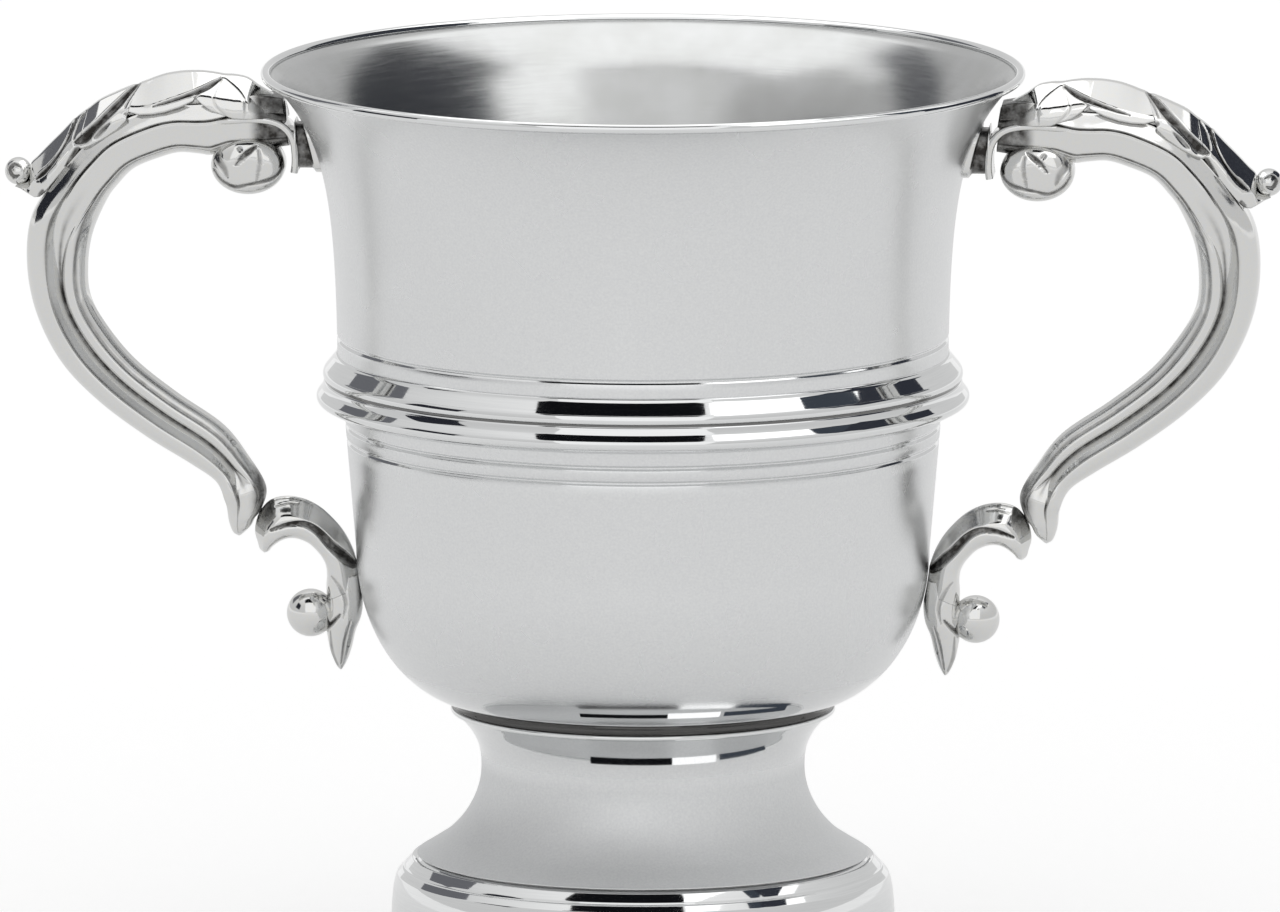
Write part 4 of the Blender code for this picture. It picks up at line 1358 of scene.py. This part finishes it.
# %% Lower brackets
BRACKET = (
    (63.3, 70.5, 62.7, 70.6, 0.9),
    (63.9, 71.1, 62.2, 70.9, 2.1),
    (64.2, 72.1, 61.6, 71.6, 2.8),
    (64.7, 74.2, 60.3, 72.5, 3.3),
    (64.1, 76.9, 59.1, 72.9, 3.4),
    (62.3, 79.2, 57.9, 72.9, 3.4),
    (59.8, 80.0, 56.8, 72.6, 3.4),
    (56.8, 79.7, 55.6, 72.0, 3.4),
    (54.0, 78.4, 54.6, 71.1, 3.4),
    (51.7, 76.4, 53.6, 69.9, 3.4),
    (49.8, 74.1, 52.9, 68.5, 3.4),
    (48.3, 71.2, 52.7, 66.9, 3.3),
    (47.4, 67.9, 52.8, 65.0, 3.2),
    (47.0, 65.0, 52.7, 62.8, 3.0),
)
# The scroll's last stroke runs on down the leaf below it.
CURL_STROKE = stroke(0.4, (51.7, 66.5, 0.12), (50.0, 64.2, 0.26), (49.3, 61.8, 0.24), (49.8, 59.5, 0.1))
BRACKET_STROKES = (
    stroke(1.0, (61.8, 74.2, 0.19), (59.1, 75.1, 0.33), (56.3, 75.3, 0.4), (54.0, 74.1, 0.5),
           (51.7, 71.7, 0.62), (49.6, 69.9, 0.66), (48.2, 68.8, 0.5)),
    stroke(0.35, (61.2, 78.2, 0.1), (59.1, 78.8, 0.14), (57.3, 78.7, 0.1)),
    CURL_STROKE,
)
BEVELLED = (
    (1.00, 0.00), (0.97, 0.10), (0.86, 0.25), (0.72, 0.40), (0.55, 0.58), (0.38, 0.75),
    (0.22, 0.91), (0.08, 0.98), (-0.10, 1.00), (-0.40, 0.99), (-0.62, 0.93), (-0.80, 0.76),
    (-0.92, 0.46), (-0.98, 0.20), (-1.00, 0.00),
)
TAIL = (
    (47.1, 67.0, 52.2, 66.2, 2.4),
    (46.8, 64.8, 52.6, 64.2, 2.8),
    (46.7, 62.0, 52.8, 61.4, 3.0),
    (47.0, 59.8, 53.0, 58.8, 3.0),
    (47.9, 57.4, 52.7, 56.9, 2.7),
    (48.5, 54.8, 52.2, 54.3, 2.2),
    (49.2, 52.7, 51.6, 52.6, 1.6),
    (49.8, 51.5, 51.0, 51.4, 1.0),
    (50.2, 50.9, 50.5, 50.9, 0.4),
)
TAIL_STROKES = (
    stroke(1.0, (50.3, 60.1, 0.12), (51.7, 58.7, 0.28), (53.0, 58.0, 0.32)),
    stroke(0.5, (52.0, 57.3, 0.09), (51.7, 53.8, 0.24), (50.8, 51.6, 0.14)),
    stroke(0.5, (48.6, 59.0, 0.09), (49.6, 55.5, 0.19), (50.2, 51.9, 0.12)),
    CURL_STROKE,
)
ROUNDED = (
    (1.00, 0.00), (0.96, 0.26), (0.84, 0.54), (0.66, 0.76), (0.44, 0.90), (0.22, 0.98), (0.00, 1.00),
    (-0.22, 0.98), (-0.44, 0.90), (-0.66, 0.76), (-0.84, 0.54), (-0.96, 0.26), (-1.00, 0.00),
)


def swept_rings(rows, section, strokes, stations):
    """Sweep a section along two drawn edges and carve it."""
    fine = curve_through(section, 4 * (len(section) - 1))
    rings = []
    for i in range(stations):
        place = (len(rows) - 1) * i / (stations - 1)
        outer_x, outer_z, inner_x, inner_z, half_depth = along(rows, place)
        half = []
        for u, v in fine:
            reach = 0.5 * (outer_x + inner_x) + 0.5 * u * (outer_x - inner_x)
            height = 0.5 * (outer_z + inner_z) + 0.5 * u * (outer_z - inner_z)
            cut, dark = carve(strokes, reach, height, v * half_depth)
            half.append((reach, height, max(0.0, v * half_depth - cut), dark))
        rings.append(both_sides(half))
    return rings


scrolls = cast_pair("bracket_scroll_cast", swept_rings(BRACKET, BEVELLED, BRACKET_STROKES, 120))
tails = cast_pair("bracket_tail_cast", swept_rings(TAIL, ROUNDED, TAIL_STROKES, 80))

# %% [markdown]
# ## Table and room
#
# The cup stands on a matt pale table in a plain white room, which lights it softly from all
# sides. The camera sees both as white, and so does metal, while the table keeps the shadow. So
# one small group of nodes tells what kind of ray looks, and lifts the brightness for two kinds.

# %% Table and room
FLOOR_WHITE = "#EDEDED"
FLOOR_REACH = 12.0
FLOOR_LIFT = 0.28                    # light added to the table for the camera, to make it white
ROOM_LEVEL = 0.86                    # brightness at which the room lights the cup
WHITE = (1.0, 1.0, 1.0, 1.0)


def sheen_share(tree):
    """2 for rays from the camera, 1 for those that metal or glass sends on, else 0."""
    rays = add_node(tree, "ShaderNodeLightPath").outputs
    sent_on = add_node(
        tree, "ShaderNodeMath",
        links={0: rays["Is Glossy Ray"], 1: rays["Is Transmission Ray"]}, operation="MAXIMUM"
    )
    doubled = add_node(tree, "ShaderNodeMath", {1: 2.0}, {0: rays["Is Camera Ray"]}, operation="MULTIPLY")
    return add_node(tree, "ShaderNodeMath", links={0: doubled, 1: sent_on}, operation="MAXIMUM")


def staged(name, mesh, material):
    """Put a mesh on the stage, which isn't part of the cup."""
    mesh.materials.append(material)
    thing = placed(name, mesh)
    return thing


def flat_mesh(name, corners):
    """Flat face through its corners in metres."""
    mesh = bpy.data.meshes.new(name)
    mesh.from_pydata(corners, [], [tuple(range(len(corners)))])
    return mesh


def table_material():
    """Pale matt table that the camera sees as white, with the object's shadow on it."""
    material, tree, output = new_material("pale_table")
    matt = add_node(tree, "ShaderNodeBsdfDiffuse", {"Color": linear(FLOOR_WHITE)})
    level = add_node(
        tree, "ShaderNodeMapRange", {"From Max": 2.0, "To Max": FLOOR_LIFT}, {"Value": sheen_share(tree)}
    )
    lift = add_node(tree, "ShaderNodeEmission", {"Color": WHITE}, {"Strength": level})
    both = add_node(tree, "ShaderNodeAddShader", links={0: matt, 1: lift})
    tree.links.new(both.outputs[0], output.inputs["Surface"])
    return material


table_corners = [(FLOOR_REACH * x, FLOOR_REACH * y, 0.0) for x, y in ((-1, -1), (1, -1), (1, 1), (-1, 1))]
staged("table", flat_mesh("table", table_corners), table_material())

world = bpy.data.worlds.new("white_room")
world.use_nodes = True
scene.world = world
room = world.node_tree
room.nodes.clear()
lifted = add_node(
    room, "ShaderNodeMapRange", {"To Min": ROOM_LEVEL, "To Max": 1.0}, {"Value": sheen_share(room)},
    clamp=True
)
sky = add_node(room, "ShaderNodeBackground", {"Color": WHITE}, {"Strength": lifted})
add_node(room, "ShaderNodeOutputWorld", links={"Surface": sky})
print("the room lights the cup at", ROOM_LEVEL, "and looks white")

# %% [markdown]
# ## Light tent
#
# Metal is photographed in a tent of white cloth, because polished metal has almost no colour of
# its own: it shows what stands round it. The tent is half a ball. It is dimmer near the table
# and brightest overhead, so the upright walls look grey and an up-facing slope looks white.
# Only reflections see it, and it lights nothing else.

# %% Light tent
TENT_RADIUS = 1.8
TENT_LOW = 0.72
TENT_HIGH = 1.20
TENT_STEEPNESS = 4.0                 # how late on the way up the cloth gets bright


def tent_material():
    """Cloth of the light tent, dim at table level and brightest overhead."""
    material, tree, output = new_material("tent_cloth")
    spot = add_node(tree, "ShaderNodeTexCoord").outputs["Object"]
    height = add_node(tree, "ShaderNodeSeparateXYZ", links={0: spot}).outputs["Z"]
    share = add_node(tree, "ShaderNodeMath", {1: TENT_RADIUS}, {0: height}, operation="DIVIDE")
    steep = add_node(tree, "ShaderNodeMath", {1: TENT_STEEPNESS}, {0: share}, operation="POWER")
    level = add_node(
        tree, "ShaderNodeMapRange", {"To Min": TENT_LOW, "To Max": TENT_HIGH}, {"Value": steep}
    )
    glow = add_node(tree, "ShaderNodeEmission", {"Color": WHITE}, {"Strength": level})
    tree.links.new(glow.outputs[0], output.inputs["Surface"])
    return material


def tent_mesh():
    """Half a ball of cloth over the table."""
    build = bmesh.new()
    bmesh.ops.create_uvsphere(build, u_segments=96, v_segments=48, radius=TENT_RADIUS)
    low = [vertex for vertex in build.verts if vertex.co.z < 0.1 * TENT_RADIUS]
    bmesh.ops.delete(build, geom=low, context="VERTS")
    mesh = bpy.data.meshes.new("light_tent")
    build.to_mesh(mesh)
    build.free()
    return mesh


def only_reflected(thing):
    """Let reflections see a thing, and nothing else."""
    thing.visible_camera = False
    thing.visible_diffuse = False
    thing.visible_shadow = False
    return thing


tent = only_reflected(staged("light_tent", tent_mesh(), tent_material()))
print("tent of", len(tent.data.polygons), "faces")

# %% [markdown]
# ## Cards
#
# A photographer draws on metal with cards. A tall softbox at the right and white cards give the
# bright streaks. The black card overhead gives the black bars of the girdle's bevels, and grey
# and slate ones give the softer dark places. The bars on the collar and the foot are
# reflections of reflections, of one ring in the next, so small ring-shaped cards close under
# the bowl and over the foot stand for them. A card glows on the side towards the cup and is
# clear from behind, so that it never hides another one.

# %% Cards
def glowing(name, hex_colour, strength):
    """Material that glows on the front of a card and lets rays through its back."""
    material, tree, output = new_material(name)
    glow = add_node(tree, "ShaderNodeEmission", {"Color": linear(hex_colour), "Strength": strength})
    clear = add_node(tree, "ShaderNodeBsdfTransparent")
    behind = add_node(tree, "ShaderNodeNewGeometry").outputs["Backfacing"]
    one_sided = add_node(tree, "ShaderNodeMixShader", links={0: behind, 1: glow, 2: clear})
    tree.links.new(one_sided.outputs[0], output.inputs["Surface"])
    return material


def ring_part(inner, outer, height, start, end):
    """Corners of a level part of a ring in millimetres and degrees, 0 at the camera."""
    corners = []
    for radius, first, last in ((inner, end, start), (outer, start, end)):
        for i in range(9):
            angle = math.radians(first + (last - first) * i / 8)
            corners.append((radius * math.sin(angle) * MM, -radius * math.cos(angle) * MM, height * MM))
    return corners


def towards_cup(corners):
    """Corners in the order that makes a card face the middle of the cup."""
    points = [Vector(corner) for corner in corners]
    facing = flat_normal(points).dot(Vector((0.0, 0.0, 0.1)) - points[0])
    return corners if facing > 0.0 else corners[::-1]


CARDS = (
    ("softbox", "#FFFFFF", 1.75,
     [(0.053, -0.098, 0.18), (0.103, -0.046, 0.18), (0.73, -0.02, 1.3), (0.32, -0.28, 1.3)]),
    ("white_front", "#FFFFFF", 1.15,
     [(-0.6, -1.30, 0.26), (0.6, -1.30, 0.26), (0.6, -0.80, 1.33), (-0.6, -0.80, 1.33)]),
    ("white_left", "#FFFFFF", 1.35,
     [(-0.25, 0.03, 0.34), (-0.25, 0.12, 0.34), (-0.25, 0.12, 0.46), (-0.25, 0.03, 0.46)]),
    ("white_right", "#FFFFFF", 1.5,
     [(0.25, 0.0, 0.26), (0.25, 0.10, 0.26), (0.25, 0.10, 0.44), (0.25, 0.0, 0.44)]),
    ("white_over_mouth", "#FFFFFF", 1.8,
     [(-0.08, -0.022, 0.26), (0.075, -0.03, 0.26), (0.062, 0.02, 0.26),
      (0.02, 0.13, 0.26), (-0.035, 0.13, 0.26), (-0.085, 0.04, 0.26)]),
    ("grey_left", "#707176", 1.0,
     [(-0.53, 0.18, 0.25), (-0.40, 0.39, 0.25), (-0.40, 0.39, 0.7), (-0.53, 0.18, 0.7)]),
    ("slate_right", "#40464F", 1.0,
     [(0.13, -0.045, 0.172), (0.13, 0.004, 0.172), (0.17, 0.004, 0.30), (0.17, -0.045, 0.30)]),
    ("slate_low_right", "#33363F", 1.0,
     [(0.128, -0.03, 0.145), (0.128, 0.07, 0.145), (0.128, 0.07, 0.19), (0.128, -0.03, 0.19)]),
    ("slate_left", "#2A2C33", 1.0,
     [(-0.25, -0.14, 0.13), (-0.25, -0.03, 0.13), (-0.25, -0.03, 0.23), (-0.25, -0.14, 0.23)]),
    ("slate_over_rim", "#383B42", 1.0,
     [(0.06, 0.01, 0.156), (0.06, 0.13, 0.156), (0.06, 0.13, 0.50), (0.06, 0.01, 0.50)]),
    ("black_overhead", "#101114", 1.0,
     [(-0.68, -0.80, 1.3), (-0.585, -0.357, 1.3), (-0.31, -0.27, 1.3),
      (0.24, -0.29, 1.3), (0.384, -0.446, 1.3), (0.45, -0.82, 1.3)]),
    ("black_under_bowl", "#101114", 1.0, ring_part(35.6, 37.0, 45.0, -14.6, 10.5)),
    ("white_under_bowl", "#FFFFFF", 1.4, ring_part(35.4, 37.4, 45.0, 10.5, 25.8)),
    ("slate_under_bowl", "#40464F", 1.0, ring_part(35.6, 37.2, 45.0, 27.0, 48.0)),
    ("black_over_foot", "#101114", 1.0, ring_part(34.7, 39.7, 22.0, -24.9, 19.0)),
    ("white_over_foot", "#FFFFFF", 1.4, ring_part(34.7, 39.9, 22.0, 19.0, 44.0)),
    ("slate_over_foot", "#40464F", 1.0, ring_part(34.0, 39.0, 22.0, 46.0, 80.0)),
)
for name, colour, level, corners in CARDS:
    only_reflected(staged(name, flat_mesh(name, towards_cup(corners)), glowing(name, colour, level)))
print(len(CARDS), "cards")

# %% [markdown]
# ## Hand each piece to its body
#
# The cup is soldered, so every piece rides on the one body. Each takes the place of the node of the same
# part. Each entry also carries the finish that the record gives the piece, which the loop doesn't use.

# %% Ride and replace
pieces = [
    (rim_wire, "rim_wire", "polished_pewter"),
    (drum, "upper_body", "satin_pewter"),
    (girdle, "girdle_band", "polished_pewter"),
    (bowl, "lower_bowl", "satin_pewter"),
    (collar, "bowl_collar", "polished_pewter"),
    (stem, "stem", "satin_pewter"),
    (foot_step, "foot_step", "polished_pewter"),
    (foot_ring, "foot_ring", "polished_pewter"),
]
for word, side in SIDES:
    for pair, node in (
            (arms, "handle_arm"),
            (leaves, "handle_leaf"),
            (beads, "handle_tip_bead"),
            (volutes, "handle_volute"),
            (sockets, "handle_socket"),
            (scrolls, "bracket_scroll"),
            (balls, "bracket_ball"),
            (tails, "bracket_tail")):
        pieces.append((pair[side], word + node, "cast_pewter"))
for piece, node, slot in pieces:
    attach(piece, "root")
    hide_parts(node)
